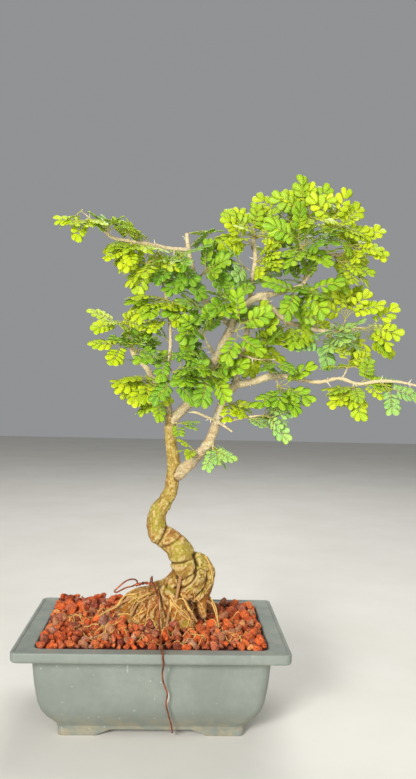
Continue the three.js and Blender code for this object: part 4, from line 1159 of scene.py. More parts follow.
    def twigs(self) -> list[Skin]:
        """Leafy twigs between the limbs and the sprays, a little bent, thicker at the foot.

        Returns:
            A surface for each.
        """
        draw = np.random.default_rng(self.seed)
        made = []
        for base, tip, *_ in SPRAYS:
            base, tip = np.array(base, float), np.array(tip, float)
            length = np.linalg.norm(tip - base)
            if length < 2.5:
                continue
            way = (tip - base) / length
            bend = np.cross(way, unit(draw.normal(size=3))) * 0.05 * length
            line = smooth_route([base, (base + tip) / 2 + bend, tip - 0.4 * way], 2.0)
            share = np.linspace(0, 1, len(line))
            radii = self.twig_radius * (1 - 0.45 * share) + 0.14 * np.sin(share * length * 0.8)
            made.append(self.painted(tube(line, radii, 8), 0.0))
        return made

    def fine_roots(self) -> list[Skin]:
        """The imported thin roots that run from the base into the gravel."""
        rows = [smooth_route(r, 2.0) for r in FINE_ROOTS]
        return [self.painted(tube(r[:, :3], r[:, 3], 8), 0.7) for r in rows]

    def spines(self) -> list[Skin]:
        """Pairs of pale spines at the nodes of the younger limbs, set apart by about a right angle.

        Returns:
            A surface for each.
        """
        draw = np.random.default_rng(self.seed + 3)
        made = []
        for route, _ in self.routes[1 : 1 + len(LIMBS)]:
            path = Path.of(route[:, :3])
            for at in np.arange(draw.uniform(6, 16), path.length[-1] - 3, self.spine_spacing):
                k = int(np.searchsorted(path.length, at))
                if route[k, 3] > 4.6:
                    continue
                turn = draw.uniform(0, 2 * np.pi)
                for way in (-0.8, 0.8):
                    out = path.side[k] * math.cos(turn + way) + path.other[k] * math.sin(turn + way)
                    out = unit(out + 0.35 * path.along[k])
                    foot = path.centres[k] + out * 0.5 * route[k, 3]
                    reach = 0.5 * route[k, 3] + self.spine_length * draw.uniform(0.6, 1.1)
                    line = foot + out * np.linspace(0, reach, 5)[:, None]
                    spine = tube(line, np.array([0.7, 0.62, 0.5, 0.34, 0.1]), 6)
                    spine.paint["spine"] = np.linspace(0, 1, len(spine.points))
                    made.append(self.painted(spine, 0.0))
        return made

    @staticmethod
    def painted(skin: Skin, root: float) -> Skin:
        """Thin wood with the same painted values as the fused surface."""
        skin.paint["root"] = np.full(len(skin.points), root)
        return skin

    def build(self, shop: Workshop) -> bpy.types.Object:
        """Shows the whole tree's wood as one piece.

        Args:
            shop: takes the pieces in.

        Returns:
            The object.
        """
        points, quads = self.fused()
        LOG.info("wood: %d fused points", len(points))
        skin = Skin.joined([self.barked(points, quads), *self.twigs(), *self.fine_roots(), *self.spines()])
        return shop.show(skin, "trunk_and_limbs", "bark", ("trunk_and_branches",))


@dataclass
class Rootlets:
    """Hair roots that cling to the root base and lie loose over the gravel."""

    count: int = 130
    radius: float = 0.55
    seed: int = 21

    def clinging(self, wood: BVHTree, shop: Workshop) -> list[Skin]:
        """Roots drawn on the front of the base, each point moved back until it rests on the wood.

        Args:
            wood: tree of the wood's faces.
            shop: takes the pieces in.

        Returns:
            A surface for each.
        """
        made = []
        for radius, route in CLINGING_ROOTS:
            rows = smooth_route([(x, 0.0, z) for x, z in route], 2.5)
            line = []
            for x, _, z in rows:
                start = Vector(shop.frame.place(np.array([x, -120.0, z])))
                hit = wood.ray_cast(start, Vector((0, 1, 0)))[0]
                line.append([x, shop.frame.back(np.array(hit))[1] - 0.5 * radius if hit else np.nan, z])
            line = np.array(line)
            good = ~np.isnan(line[:, 1])
            if good.sum() < 3:
                continue
            line[:, 1] = np.interp(np.arange(len(line)), np.flatnonzero(good), line[good, 1])
            line[1:-1, 1] = np.minimum(line[1:-1, 1], (line[:-2, 1] + line[2:, 1]) / 2 + 1)
            made.append(tube(line, radius * np.linspace(0.8, 0.5, len(line)), 7))
        return made

    def loose(self, ground: BVHTree, shop: Workshop) -> list[Skin]:
        """Curly strands whose heading turns at random, each point let down on to the stones.

        Args:
            ground: tree of the gravel's faces.
            shop: takes the pieces in.

        Returns:
            A surface for each.
        """
        draw = np.random.default_rng(self.seed)
        made = []
        for _ in range(self.count):
            steps = int(draw.integers(7, 17))
            heading = draw.uniform(0, 2 * np.pi) + np.cumsum(draw.normal(0, 0.38, steps))
            start = np.array([draw.normal(-10, 52), draw.uniform(-66, 20)])
            flat = start + np.cumsum(np.column_stack([np.cos(heading), np.sin(heading)]) * 2.6, axis=0)
            if np.any(np.abs(flat) > [104, 70]):
                continue
            tops = [Vector(shop.frame.place([x, y, 150.0])) for x, y in flat]
            hits = [ground.ray_cast(top, Vector((0, 0, -1)))[0] for top in tops]
            z = np.array([shop.frame.back(np.array(hit))[2] for hit in hits])
            z = np.maximum(z, np.convolve(np.pad(z, 2, mode="edge"), np.ones(5) / 5, "valid")) + 0.2
            radii = self.radius * draw.uniform(0.6, 1.25) * np.linspace(1, 0.5, steps)
            made.append(tube(np.column_stack([flat, z]), radii, 6))
        return made

    def build(self, shop: Workshop, wood: bpy.types.Object, gravel: bpy.types.Object) -> bpy.types.Object:
        """Shows all the hair roots as one piece.

        Args:
            shop: takes the pieces in.
            wood: the dressed trunk.
            gravel: the dressed gravel.

        Returns:
            The object.
        """
        graph = bpy.context.evaluated_depsgraph_get()
        trees = [BVHTree.FromObject(piece, graph) for piece in (wood, gravel)]
        skin = Skin.joined([*self.clinging(trees[0], shop), *self.loose(trees[1], shop)])
        skin.paint["root"] = np.ones(len(skin.points))
        return shop.show(skin, "hair_roots", "root_skin")


@dataclass
class TieWire:
    """Copper wire bound round the pot and the root base, its two ends twisted together above the roots."""

    radius: float = 0.8
    turns: float = 2.5

    def build(self, shop: Workshop) -> bpy.types.Object:
        """Shows the wire as one strand: an open loop, a leg wound along the twist, the way round the pot,
        and the other leg wound back along the twist on the far side of its line.

        Args:
            shop: takes the pieces in.

        Returns:
            The object.
        """
        heart = smooth_route(WIRE_TWIST, 1.1)
        path = Path.of(heart)
        angle = np.linspace(0, 2 * np.pi * self.turns, len(heart))[:, None]
        out = (path.side * np.cos(angle) + path.other * np.sin(angle)) * self.radius
        route = smooth_route(np.concatenate([WIRE_LOOP, heart + out, WIRE, (heart - out)[::-1]]), 0.9)
        kinks = np.column_stack([lattice_noise(route / 16, s) for s in (1, 2, 3)]) * 0.15
        strand = tube(route + kinks * [1, 0.3, 1], np.full(len(route), self.radius), 10, 0.3)
        LOG.info("wire: %.0f mm long", np.linalg.norm(np.diff(route, axis=0), axis=1).sum())
        return shop.show(strand, "copper_tie_wire", "copper", ("tie_wire",))


@dataclass(frozen=True)
class Leaf:
    """One leaf: a stalk that forks into two pinnae, laid out on an arched blade.

    The frame's vectors run along the stalk, across the leaf and up out of its face.
    """

    foot: Array
    along: Array
    across: Array
    up: Array
    size: float
    droop: float
    spread: float
    twist: float
    heel: float = 0.0

    def on(self, u: Array, v: Array, lift: Array) -> Array:
        """Points on the blade, which sags with the square of the distance from the foot.

        Args:
            u: places along the stalk.
            v: places across it.
            lift: heights above the blade.

        Returns:
            The points.
        """
        height = lift - self.droop * (u * u + v * v)
        flat = self.foot + u[..., None] * self.along + v[..., None] * self.across
        return flat + height[..., None] * self.up

    def pinna(self, way: int, s: Array, t: Array) -> tuple[Array, Array, Array]:
        """Place on the blade of points beside a pinna's rib, given in parts of its length.

        Args:
            way: 1 or -1, the side of the stalk.
            s: places along the rib.
            t: places away from it.

        Returns:
            Places along and across the stalk, and lift.
        """
        reach = s * PINNA * self.size
        away = way * t * PINNA * self.size
        cos, sin = math.cos(self.spread), math.sin(self.spread)
        u = PETIOLE * self.size + reach * cos - np.abs(away) * np.sign(t) * sin
        return u, way * reach * sin + away * cos, self.twist * away

    def samples(self) -> Array:
        """Points spread evenly over both pinnae."""
        s, t = np.meshgrid(np.linspace(0.08, 1.02, 12), np.linspace(-0.24, 0.24, 7))
        return np.concatenate([self.on(*self.pinna(way, s.ravel(), t.ravel())) for way in (1, -1)])

    def packed_box(self) -> Array:
        """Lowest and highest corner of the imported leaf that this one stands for.

        Returns:
            Both corners.
        """
        rib = RIB / (PINNA * self.size)
        uv = [np.array([[-self.heel, STALK, 0], [-self.heel, -STALK, 0]]),
              np.array([[PETIOLE * self.size, STALK, 0], [PETIOLE * self.size, -STALK, 0]]),
              np.array([[(PETIOLE + CROTCH) * self.size, 0, 0]])]
        for way in (1, -1):
            for rows, side in ((OUTER_SIDE, 1), (INNER_SIDE, -1)):
                uv.append(np.column_stack(self.pinna(way, rows[:, 0], side * np.maximum(rows[:, 1], rib))))
            uv.append(np.column_stack(self.pinna(way, np.array([RIB_END]), np.zeros(1))))
        u, v, lift = np.concatenate(uv).T
        points = np.concatenate([self.on(u, v, lift + h) for h in (BLADE / 2, -BLADE / 2)])
        return np.stack([points.min(0), points.max(0)])


class Draw:
    """Random draws from a seed by a linear congruence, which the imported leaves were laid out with."""

    def __init__(self, seed: int) -> None:
        """Starts the sequence for a seed and drops its first two numbers."""
        self.state = (seed * 7919 + 17) & 0xFFFFFFFF
        self.between(0, self.between(0, 1))

    def between(self, low: float, high: float) -> float:
        """Next number, between low and high."""
        self.state = (self.state * 1664525 + 1013904223) & 0xFFFFFFFF
        return low + (high - low) * self.state / 4294967296


@dataclass
class Crown:
    """The crown from the front: a grid in the plane y = 0 that counts the leaves over each of its cells.

    Places are thrown on to the plane from the camera. Leaves are wanted in the cells inside a pad and
    outside the bare ellipses. Worth is what a cell's first, second and later leaves add, and spill what a
    leaf costs for each cell where none is wanted.
    """

    corner: tuple[float, float] = (-140.0, 210.0)
    cell: float = 3.0
    shape: tuple[int, int] = (170, 130)
    worth: tuple[float, ...] = (1.0, 0.62, 0.3, 0.05)
    spill: float = -1.2

    def __post_init__(self) -> None:
        """Marks the cells in which leaves are wanted, and starts the count."""
        at = (np.indices(self.shape).reshape(2, -1).T + 0.5) * self.cell + self.corner
        self.wanted = self.inside(at, PADS) & ~self.inside(at, BARE)
        self.count = np.zeros(len(at), int)

    @staticmethod
    def inside(at: Array, ellipses: list[Ellipse]) -> Array:
        """Whether places lie in any ellipse: there (u / half width)² + (v / half height)² is under 1.

        Args:
            at: the places.
            ellipses: middle x and z, half width, half height and tilt in degrees of each.

        Returns:
            True or false for each place.
        """
        x, z, width, height, tilt = np.array(ellipses, float).T
        cos, sin = np.cos(np.radians(tilt)), np.sin(np.radians(tilt))
        away = at[:, None] - np.column_stack([x, z])
        u, v = away[..., 0] * cos + away[..., 1] * sin, away[..., 1] * cos - away[..., 0] * sin
        return np.any((u / width) ** 2 + (v / height) ** 2 < 1, axis=1)

    def cells_of(self, points: Array) -> Array:
        """Numbers of the cells that points cover.

        Args:
            points: rows of x, y and z.

        Returns:
            Each number once.
        """
        flat = EYE + (points - EYE) * (EYE[1] / (EYE[1] - points[:, 1:2]))
        column, row = ((flat[:, [0, 2]] - self.corner) / self.cell).astype(int).T
        return np.unique(column * self.shape[1] + row)

    def gain(self, cells: Array) -> float:
        """What a leaf over these cells adds: their mean worth, which falls with each leaf there."""
        worth = np.array(self.worth)[np.minimum(self.count[cells], len(self.worth) - 1)]
        return float(np.where(self.wanted[cells], worth, self.spill).sum() / (len(cells) + 3))


def leaf_frame(along: Array, lean: float) -> tuple[Array, Array]:
    """Across and up of a leaf along a direction, its face leaning to the front by so many degrees."""
    across = unit(np.cross([0.0, -math.sin(math.radians(lean)), math.cos(math.radians(lean))], along))
    return across, np.cross(along, across)


@dataclass
class Bud:
    """Place on a twig or limb from which further leaves may spring, and the spray that they belong to."""

    number: int
    foot: Array
    reach: Array
    size: float
    most: int
    spray: int

    def leaf(self, number: int) -> Leaf:
        """A leaf from the bud.

        Args:
            number: number of the draw.

        Returns:
            The leaf.
        """
        draw = np.random.default_rng([self.number, number])
        side = unit(np.cross(self.reach, draw.normal(size=3)))
        angle = math.radians(draw.uniform(10, 110))
        along = unit(self.reach * math.cos(angle) + side * math.sin(angle) + [0, 0, 0.15])
        grown = self.size * draw.uniform(0.7, 1.0)
        across, up = leaf_frame(along, draw.uniform(5, 75) if along[1] < 0.3 else draw.uniform(-60, 20))
        droop, spread = draw.uniform(0.003, 0.008) / grown, math.radians(draw.uniform(28, 42))
        return Leaf(self.foot, along, across, up, grown, droop, spread, draw.uniform(-0.3, 0.3))


@dataclass
class Foliage:
    """Sprays of twice-divided leaves: two pinnae, each with four or five pairs of thin rounded leaflets.

    Stations are the places of a leaflet's rings along it. Every bud offers a number of draws, and the
    demands are what a leaf has to add to the crown, round after round.
    """

    stations: tuple[float, ...] = (0, 0.14, 0.38, 0.64, 0.86, 0.98)
    thickness: float = 0.34
    stalk_radius: float = 0.42
    lowest_bud: float = 262.0
    draws: int = 60
    demands: tuple[float, ...] = (0.7, 0.58, 0.47, 0.38, 0.3, 0.23, 0.17, 0.12)
    most_leaves: int = 330
    margin: float = 4.0
    seed: int = 77

    def packed_leaves(self, index: int, low: Array, high: Array) -> list[Leaf]:
        """Leaves of a packed spray, found again from its box.

        The spray's leaves follow from its row and one of a few tries. The try whose box has the node's
        size is the one it was made with, and the boxes' corners give its foot.

        Args:
            index: row of the spray.
            low: lowest corner of its node, in millimetres.
            high: highest corner.

        Returns:
            Its leaves.
        """
        best: tuple[float, tuple[Leaf, ...], Array] = (math.inf, (), np.zeros(3))
        for attempt in range(TRIES):
            leaves = self.tried_leaves(index, attempt)
            for chosen in [c for n in range(len(leaves), 0, -1) for c in combinations(leaves, n)]:
                boxes = np.stack([leaf.packed_box() for leaf in chosen])
                box = np.stack([boxes[:, 0].min(0), boxes[:, 1].max(0)])
                error = float(np.abs((box[1] - box[0]) - (high - low)).max())
                if error < best[0] - 1e-3:
                    best = (error, chosen, (low + high - box[0] - box[1]) / 2)
        error, leaves, foot = best
        if error > 0.05:
            LOG.warning("spray %d: its leaves differ from the node by %.2f mm", index + 1, error)
        return [replace(leaf, foot=foot + leaf.foot, heel=0.0) for leaf in leaves]

    @staticmethod
    def tried_leaves(index: int, attempt: int) -> list[Leaf]:
        """Leaves of a spray at one try, about a foot at the origin: they fan out from its reach.

        Args:
            index: row of the spray.
            attempt: number of the try; each is looser than the one before.

        Returns:
            Its leaves.
        """
        row = SPRAYS[index]
        draw = Draw(100 * attempt + index)
        reach = row.reach()
        loose = 1 + 0.12 * attempt
        made = []
        for k in range(row.leaves):
            way = 1 - 2 * k if row.leaves > 1 else 0
            fan = math.radians(way * 38 + loose * draw.between(-10, 10))
            across, up = leaf_frame(reach, row.lean)
            lift = 0.34 * way + loose * draw.between(-0.08, 0.22)
            along = unit(reach * math.cos(fan) + across * math.sin(fan) + up * lift)
            across, up = leaf_frame(along, row.lean + loose * draw.between(-16, 16))
            droop = draw.between(0.0025, 0.0075) / row.size
            spread = math.radians(draw.between(33, 41))
            twist = draw.between(-0.25, 0.25)
            foot = reach * SEAT_RETREAT * attempt
            heel = 0.0 if k else 0.8 * STALK
            made.append(Leaf(foot, along, across, up, row.size, droop, spread, twist, heel))
        return made

    def buds(self, feet: Array) -> list[Bud]:
        """Buds of the sprays, and of the limbs' own points where they are thin and high enough.

        Args:
            feet: foot of each spray.

        Returns:
            The buds.
        """
        made = []
        for index, row in enumerate(SPRAYS):
            made.append(Bud(index, feet[index], row.reach(), row.size, 8, index))
        for order, route in enumerate(LIMBS.values(), 1):
            points = np.array([point[:3] for point in route], float)
            ways = held(points, 1)[2:] - held(points, 1)[:-2]
            for at, (foot, way) in enumerate(zip(points, ways)):
                if route[at][3] <= 5 and foot[2] > self.lowest_bud:
                    spray = int(np.argmin(np.linalg.norm(feet - foot, axis=1)))
                    made.append(Bud(100 * order + at, foot, unit(way), 0.92, 2, spray))
        return made

    def filled_out(self, sprays: list[list[Leaf]], low: Array, high: Array) -> None:
        """Adds further leaves to the sprays where the crown is still open.

        Every bud offers leaves from its own draws. They are gone through again and again with a falling
        demand on what a leaf adds to the crown, and a leaf that meets it is kept.

        Args:
            sprays: leaves of each spray, to which the new ones are added.
            low: lowest corner that a leaf may reach.
            high: highest corner that a leaf may reach.
        """
        crown = Crown()
        for leaf in chain(*sprays):
            crown.count[crown.cells_of(leaf.samples())] += 1
        offers = []
        for bud in self.buds(np.array([leaves[0].foot for leaves in sprays])):
            for number in range(self.draws if bud.most > 2 else self.draws // 2):
                leaf = bud.leaf(number)
                points = leaf.samples()
                if np.all(points > low) and np.all(points < high):
                    offers.append((bud, leaf, crown.cells_of(points)))
        kept: dict[int, list[Leaf]] = defaultdict(list)
        for demand in self.demands:
            for bud, leaf, cells in offers:
                grown = kept[bud.number]
                if len(grown) >= bud.most or sum(map(len, kept.values())) >= self.most_leaves:
                    continue
                if crown.gain(cells) < demand or any(leaf.along @ other.along > 0.93 for other in grown):
                    continue
                crown.count[cells] += 1
                grown.append(leaf)
                sprays[bud.spray].append(leaf)
        added = sum(map(len, kept.values()))
        covered = 100 * float((crown.count[crown.wanted] > 0).mean())
        LOG.info("crown: %d further leaves, %.0f%% of its pads covered", added, covered)

    def leaflets(self, leaf: Leaf, draw: np.random.Generator) -> Skin:
        """All the leaflets of a leaf.

        Each is a closed thin blade with rings of six points. Its half width is a to the power 0.6 times
        the root of 1 - a to the fourth: narrow at the foot, widest past the middle, round at the tip. It
        folds up along its midrib and curls down to its tip.

        Args:
            leaf: the leaf that carries them.
            draw: random numbers.

        Returns:
            The leaflets, painted with place on the blade, underside and tint.
        """
        pairs = int(draw.integers(4, 6))
        at = np.linspace(0.15 if pairs == 5 else 0.2, 0.7, pairs)
        share = np.linspace(0, 1, pairs)
        lean = np.radians(np.interp(share, [0, 0.7, 1], [62, 50, 24]))
        reach = np.interp(share, [0, 0.5, 1], [0.24, 0.305, 0.33]) * PINNA
        rows = [(way, side, *pair) for way in (1, -1) for side in (1, -1)
                for k, pair in enumerate(zip(at, lean, reach)) if side > 0 or k > 0]
        n = len(rows)
        way, side, base, phi, long = (column[:, None, None] for column in np.array(rows).T)

        def spin(low: float, high: float) -> Array:
            """A draw for each leaflet."""
            return draw.uniform(low, high, n)[:, None, None]

        phi = phi + spin(-0.14, 0.14)
        long = long * leaf.size * spin(0.86, 1.1)
        a = np.array(self.stations)[:, None]
        half = a**0.6 * np.sqrt(1 - a**4)
        b = np.array([1, 0.5, 0, -0.5, -1, 0])
        face = np.array([0, 1, 1, 1, 0, -1])
        step = long * a
        off = way * long * spin(0.48, 0.56) * np.maximum(half, 0.1) * b
        s = base * PINNA * leaf.size + step * np.cos(phi) - side * off * np.sin(phi)
        t = side * (0.3 + step * np.sin(phi)) + off * np.cos(phi)
        cos, sin = math.cos(leaf.spread), math.sin(leaf.spread)
        u = PETIOLE * leaf.size + s * cos - t * sin
        v = way * (s * sin + t * cos)
        lift = leaf.twist * way * t + spin(0.03, 0.2) * np.abs(off) - spin(-0.03, 0.12) * step * a
        lift = lift + (0.13 * way * side + spin(-0.1, 0.1)) * off + spin(-0.1, 0.15) * step
        thin = 0.5 * self.thickness * face * np.sqrt(1 - 0.85 * b**2) * np.ones_like(a)
        points = leaf.on(u, v, lift + thin)
        rings, sides = points.shape[1:3]
        start = (np.arange(n) * rings * sides)[:, None, None]
        faces = [(f[None] + start).reshape(-1, f.shape[1]) for f in ring_faces(rings, sides)]
        # under marks the underside, which the finish paints paler and lightened further by painted light
        # shining through the leaf.
        values = {"blade_along": a, "blade_across": b, "under": face < 0, "tint": spin(0, 1)}
        values["leaf"] = draw.random()
        for name, value in values.items():
            values[name] = np.broadcast_to(value, (n, rings, sides)).ravel().astype(float)
        return Skin(points.reshape(-1, 3), faces, values)

    def stalks(self, leaf: Leaf) -> list[Skin]:
        """Leaf stalk, a little swollen at both ends, and the rib of each pinna.

        Args:
            leaf: the leaf that they carry.

        Returns:
            Three surfaces.
        """
        radius = self.stalk_radius
        u = np.linspace(-1.8, PETIOLE * leaf.size, 7)
        swell = np.array([1.5, 1.35, 1.0, 0.95, 0.95, 1.15, 1.3])
        made = [tube(leaf.on(u, np.zeros(7), np.zeros(7)), radius * swell, 6)]
        for way in (1, -1):
            s = np.linspace(0, 0.71, 9)
            line = leaf.on(*leaf.pinna(way, s, np.zeros(9)))
            made.append(tube(line, radius * np.linspace(0.9, 0.45, 9), 6))
        for skin in made:
            skin.paint["stalk"] = np.ones(len(skin.points))
        return made

    def build(self, shop: Workshop) -> None:
        """Shows each spray as one piece, along with the limbs' leaves that are nearest to it.

        Args:
            shop: takes the pieces in.
        """
        rows = range(len(SPRAYS))
        corners = np.array([[list(c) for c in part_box(f"leafy_spray_{k + 1:02d}")] for k in rows])
        boxes = shop.frame.back(corners)
        sprays = [self.packed_leaves(index, *box) for index, box in enumerate(boxes)]
        self.filled_out(sprays, boxes[:, 0].min(axis=0) - self.margin, boxes[:, 1].max(axis=0) + self.margin)
        for index, (leaves, row) in enumerate(zip(sprays, SPRAYS)):
            draw = np.random.default_rng(self.seed + index)
            skins = [skin for leaf in leaves for skin in (self.leaflets(leaf, draw), *self.stalks(leaf))]
            name = f"leafy_spray_{index + 1:02d}"
            shop.show(Skin.joined(skins), f"{name}_leaves", row.tone.value, (name,))


def paint(code: str) -> tuple[float, float, float, float]:
    """Linear colour of a hexadecimal screen colour."""
    screen = np.array([int(code[k : k + 2], 16) for k in (1, 3, 5)]) / 255
    return (*np.where(screen <= 0.04045, screen / 12.92, ((screen + 0.055) / 1.055) ** 2.4).tolist(), 1.0)


Socket = bpy.types.NodeSocket
Feed = Socket | float | tuple[float, ...]


@dataclass
class Nodes:
    """Shader nodes of one material or group, put in with few words."""

    tree: bpy.types.NodeTree

    def put(
        self, kind: str, inputs: dict[str | int, Feed], out: str | int = 0, **settings: object
    ) -> Socket:
        """Adds a node, sets or links its inputs and returns one of its outputs.

        Args:
            kind: node type without its ShaderNode prefix.
            inputs: values or sockets by input name or number.
            out: output wanted.
            settings: properties of the node.

        Returns:
            The output socket.
        """
        node = self.tree.nodes.new("ShaderNode" + kind)
        for key, value in settings.items():
            setattr(node, key, value)
        for key, value in inputs.items():
            if isinstance(value, Socket):
                self.tree.links.new(value, node.inputs[key])
            else:
                node.inputs[key].default_value = value
        return node.outputs[out]

    @cached_property
    def place(self) -> Socket:
        """Object coordinates, which are the place in the model in metres."""
        return self.put("TexCoord", {}, "Object")

    def value(self, name: str) -> Socket:
        """A value painted on the surface."""
        return self.put("Attribute", {}, "Fac", attribute_name=name)

    def upward(self) -> Socket:
        """Upward part of the surface's direction: 1 on a floor, 0 on a wall."""
        return self.put("SeparateXYZ", {"Vector": self.put("NewGeometry", {}, "Normal")}, "Z")

    def math(self, operation: str, *terms: Feed) -> Socket:
        """Numbers joined one after the other by an operation."""
        return reduce(lambda a, b: self.put("Math", {0: a, 1: b}, operation=operation), terms)

    def times(self, *factors: Feed) -> Socket:
        """Product of numbers."""
        return self.math("MULTIPLY", *factors)

    def plus(self, *terms: Feed) -> Socket:
        """Sum of numbers."""
        return self.math("ADD", *terms)

    def less(self, *terms: Feed) -> Socket:
        """First number less the others."""
        return self.math("SUBTRACT", *terms)

    def layered(self, base: str | Socket, *layers: tuple[str | Feed, ...]) -> Socket:
        """Colour with others laid over it, each by the product of its shares.

        Args:
            base: screen colour, or a socket with the colour.
            layers: the screen colour of each with its shares.

        Returns:
            The colour.
        """
        colour = paint(base) if isinstance(base, str) else base
        for code, *shares in layers:
            inputs = {0: self.times(*shares), 6: colour, 7: paint(code)}
            colour = self.put("Mix", inputs, 2, data_type="RGBA")
        return colour

    def band(self, value: Feed, low: Feed, high: Feed, start: float = 0.0, end: float = 1.0) -> Socket:
        """Value taken from low..high to start..end by an S curve."""
        inputs = {"Value": value, "From Min": low, "From Max": high, "To Min": start, "To Max": end}
        return self.put("MapRange", inputs, interpolation_type="SMOOTHSTEP")

    def ramp(self, value: Feed, stops: list[tuple[float, str]]) -> Socket:
        """Colour read off a ramp.

        Args:
            value: where on the ramp, 0 to 1.
            stops: places on it with their screen colours.

        Returns:
            The colour.
        """
        out = self.put("ValToRGB", {"Fac": value})
        band = out.node.color_ramp
        for place, _ in stops[1:-1]:
            band.elements.new(place)
        for element, (place, code) in zip(band.elements, stops):
            element.position, element.color = place, paint(code)
        return out

    def noise(
        self, scale: Feed, detail: float = 2.0, roughness: float = 0.5, place: Socket | None = None
    ) -> Socket:
        """Layered noise at the place in the model, or at another place."""
        inputs = {"Vector": self.place if place is None else place, "Scale": scale}
        return self.put("TexNoise", inputs | {"Detail": detail, "Roughness": roughness})

    def bump(self, height: Feed, distance: float, strength: float) -> Socket:
        """Normal bent by a height, in metres."""
        return self.put("Bump", {"Height": height, "Distance": distance, "Strength": strength})

    def group(self, name: str, **inputs: Feed) -> Socket:
        """Mask of a shared effect placed with its own values."""
        return self.put("Group", {"Place": self.place} | inputs, node_tree=bpy.data.node_groups[name])

    def mottle(self, scale: float, low: float, high: float, **place: Feed) -> Socket:
        """Soft patches, harder edged the nearer low is to high."""
        return self.group("mottle", Scale=scale, Low=low, High=high, **place)

    def specks(self, scale: float, size: float, share: float) -> Socket:
        """Small round spots."""
        return self.group("specks", Scale=scale, Size=size, Share=share)

    def dressed(self, colour: Feed, roughness: Feed, normal: Socket, **plain: Feed) -> bpy.types.Material:
        """Ends a material in its shader.

        Args:
            colour: base colour.
            roughness: how matt it is.
            normal: bent normal.
            plain: values that are the same all over, by socket name with _ for a space.

        Returns:
            The material.
        """
        inputs = {"Base Color": colour, "Roughness": roughness, "Normal": normal}
        inputs |= {key.replace("_", " "): value for key, value in plain.items()}
        shader = self.put("BsdfPrincipled", inputs)
        self.tree.links.new(shader, self.tree.nodes.new("ShaderNodeOutputMaterial").inputs["Surface"])
        return next(m for m in bpy.data.materials if m.node_tree == self.tree)


def blank(name: str) -> Nodes:
    """Empty node tree of a new material.

    Args:
        name: name of the material.

    Returns:
        Its nodes.
    """
    material = bpy.data.materials.new(name)
    material.use_nodes = True
    material.node_tree.nodes.clear()
    return Nodes(material.node_tree)


class Effect:
    """A shared shader effect under way: a node group that takes a place and numbers and puts out a mask."""

    def __init__(self, name: str, **inputs: float) -> None:
        """Starts the group.

        Args:
            name: its name.
            inputs: its number inputs with their usual values.
        """
        tree = bpy.data.node_groups.new(name, "ShaderNodeTree")
        tree.interface.new_socket("Place", in_out="INPUT", socket_type="NodeSocketVector")
        for key, value in inputs.items():
            socket = tree.interface.new_socket(key, in_out="INPUT", socket_type="NodeSocketFloat")
            socket.default_value = value
        tree.interface.new_socket("Mask", in_out="OUTPUT", socket_type="NodeSocketFloat")
        self.nodes = Nodes(tree)
        self.given = tree.nodes.new("NodeGroupInput").outputs

    def end(self, mask: Socket) -> None:
        """Puts the mask out."""
        self.nodes.tree.links.new(mask, self.nodes.tree.nodes.new("NodeGroupOutput").inputs[0])

    @staticmethod
    def mottle() -> None:
        """Soft patches of layered noise."""
        effect = Effect("mottle", Scale=40, Low=0.4, High=0.6)
        n, given = effect.nodes, effect.given
        noise = n.noise(given["Scale"], 5.0, 0.6, given["Place"])
        effect.end(n.band(noise, given["Low"], given["High"]))

    @staticmethod
    def specks() -> None:
        """Small round spots, one to a cell and only in some cells."""
        effect = Effect("specks", Scale=300, Size=0.2, Share=0.3)
        n, given = effect.nodes, effect.given
        near = n.put("TexVoronoi", {"Vector": given["Place"], "Scale": given["Scale"]}, "Distance")
        cell = n.put("SeparateColor", {"Color": near.node.outputs["Color"]})
        size = n.times(given["Size"], n.plus(cell.node.outputs[1], 0.4))
        edge = n.put("MapRange", {"Value": near, "From Min": size, "From Max": n.times(size, 0.6)})
        effect.end(n.times(edge, n.math("LESS_THAN", cell, given["Share"])))

    @staticmethod
    def grime() -> None:
        """Dirt that gathers below a height and fades out above it, broken up by noise."""
        effect = Effect("grime", Height=0.02, Fade=0.03, Scale=60)
        n, given = effect.nodes, effect.given
        up = n.put("SeparateXYZ", {"Vector": given["Place"]}, "Z")
        noise = n.noise(given["Scale"], 4.0, place=given["Place"])
        share = n.less(1.0, n.math("DIVIDE", n.less(up, given["Height"]), given["Fade"]))
        effect.end(n.put("Clamp", {"Value": n.times(share, n.band(noise, 0.35, 0.65))}))


@dataclass(frozen=True)
class PotPlastic:
    """Grey-green training pot plastic: dusty, with lime, scuffs down the walls and tan dirt low down."""

    base: str = "#737970"
    dusty: str = "#7f857b"
    deep: str = "#686f68"
    lime: str = "#c9cbc0"
    dust: str = "#9c9a88"
    dirt: str = "#a8946c"

    def material(self) -> bpy.types.Material:
        """Builds the finish.

        Returns:
            The material.
        """
        n = blank("pot_plastic")
        patches = n.mottle(14, 0.35, 0.68)
        stretched = n.put("Mapping", {"Vector": n.place, "Scale": (1, 1, 0.13)})
        worn = n.times(n.mottle(210, 0.64, 0.74, Place=stretched), n.mottle(22, 0.5, 0.62))
        colour = n.layered(
            self.base,
            (self.dusty, patches),
            (self.deep, n.mottle(160, 0.35, 0.7), 0.28),
            (self.lime, worn, 0.55),
            (self.lime, n.specks(210, 0.16, 0.16), 0.4),
            (self.dust, n.band(n.upward(), 0.6, 0.95), n.mottle(48, 0.42, 0.62), 0.25),
            (self.dirt, n.group("grime", Height=0.008, Fade=0.02, Scale=90), 0.4),
        )
        dull = n.plus(n.band(patches, 0, 1, 0.5, 0.62), n.times(worn, 0.2))
        normal = n.bump(n.plus(n.noise(900), n.times(worn, 1.5)), 0.00012, 0.6)
        return n.dressed(colour, dull, normal)


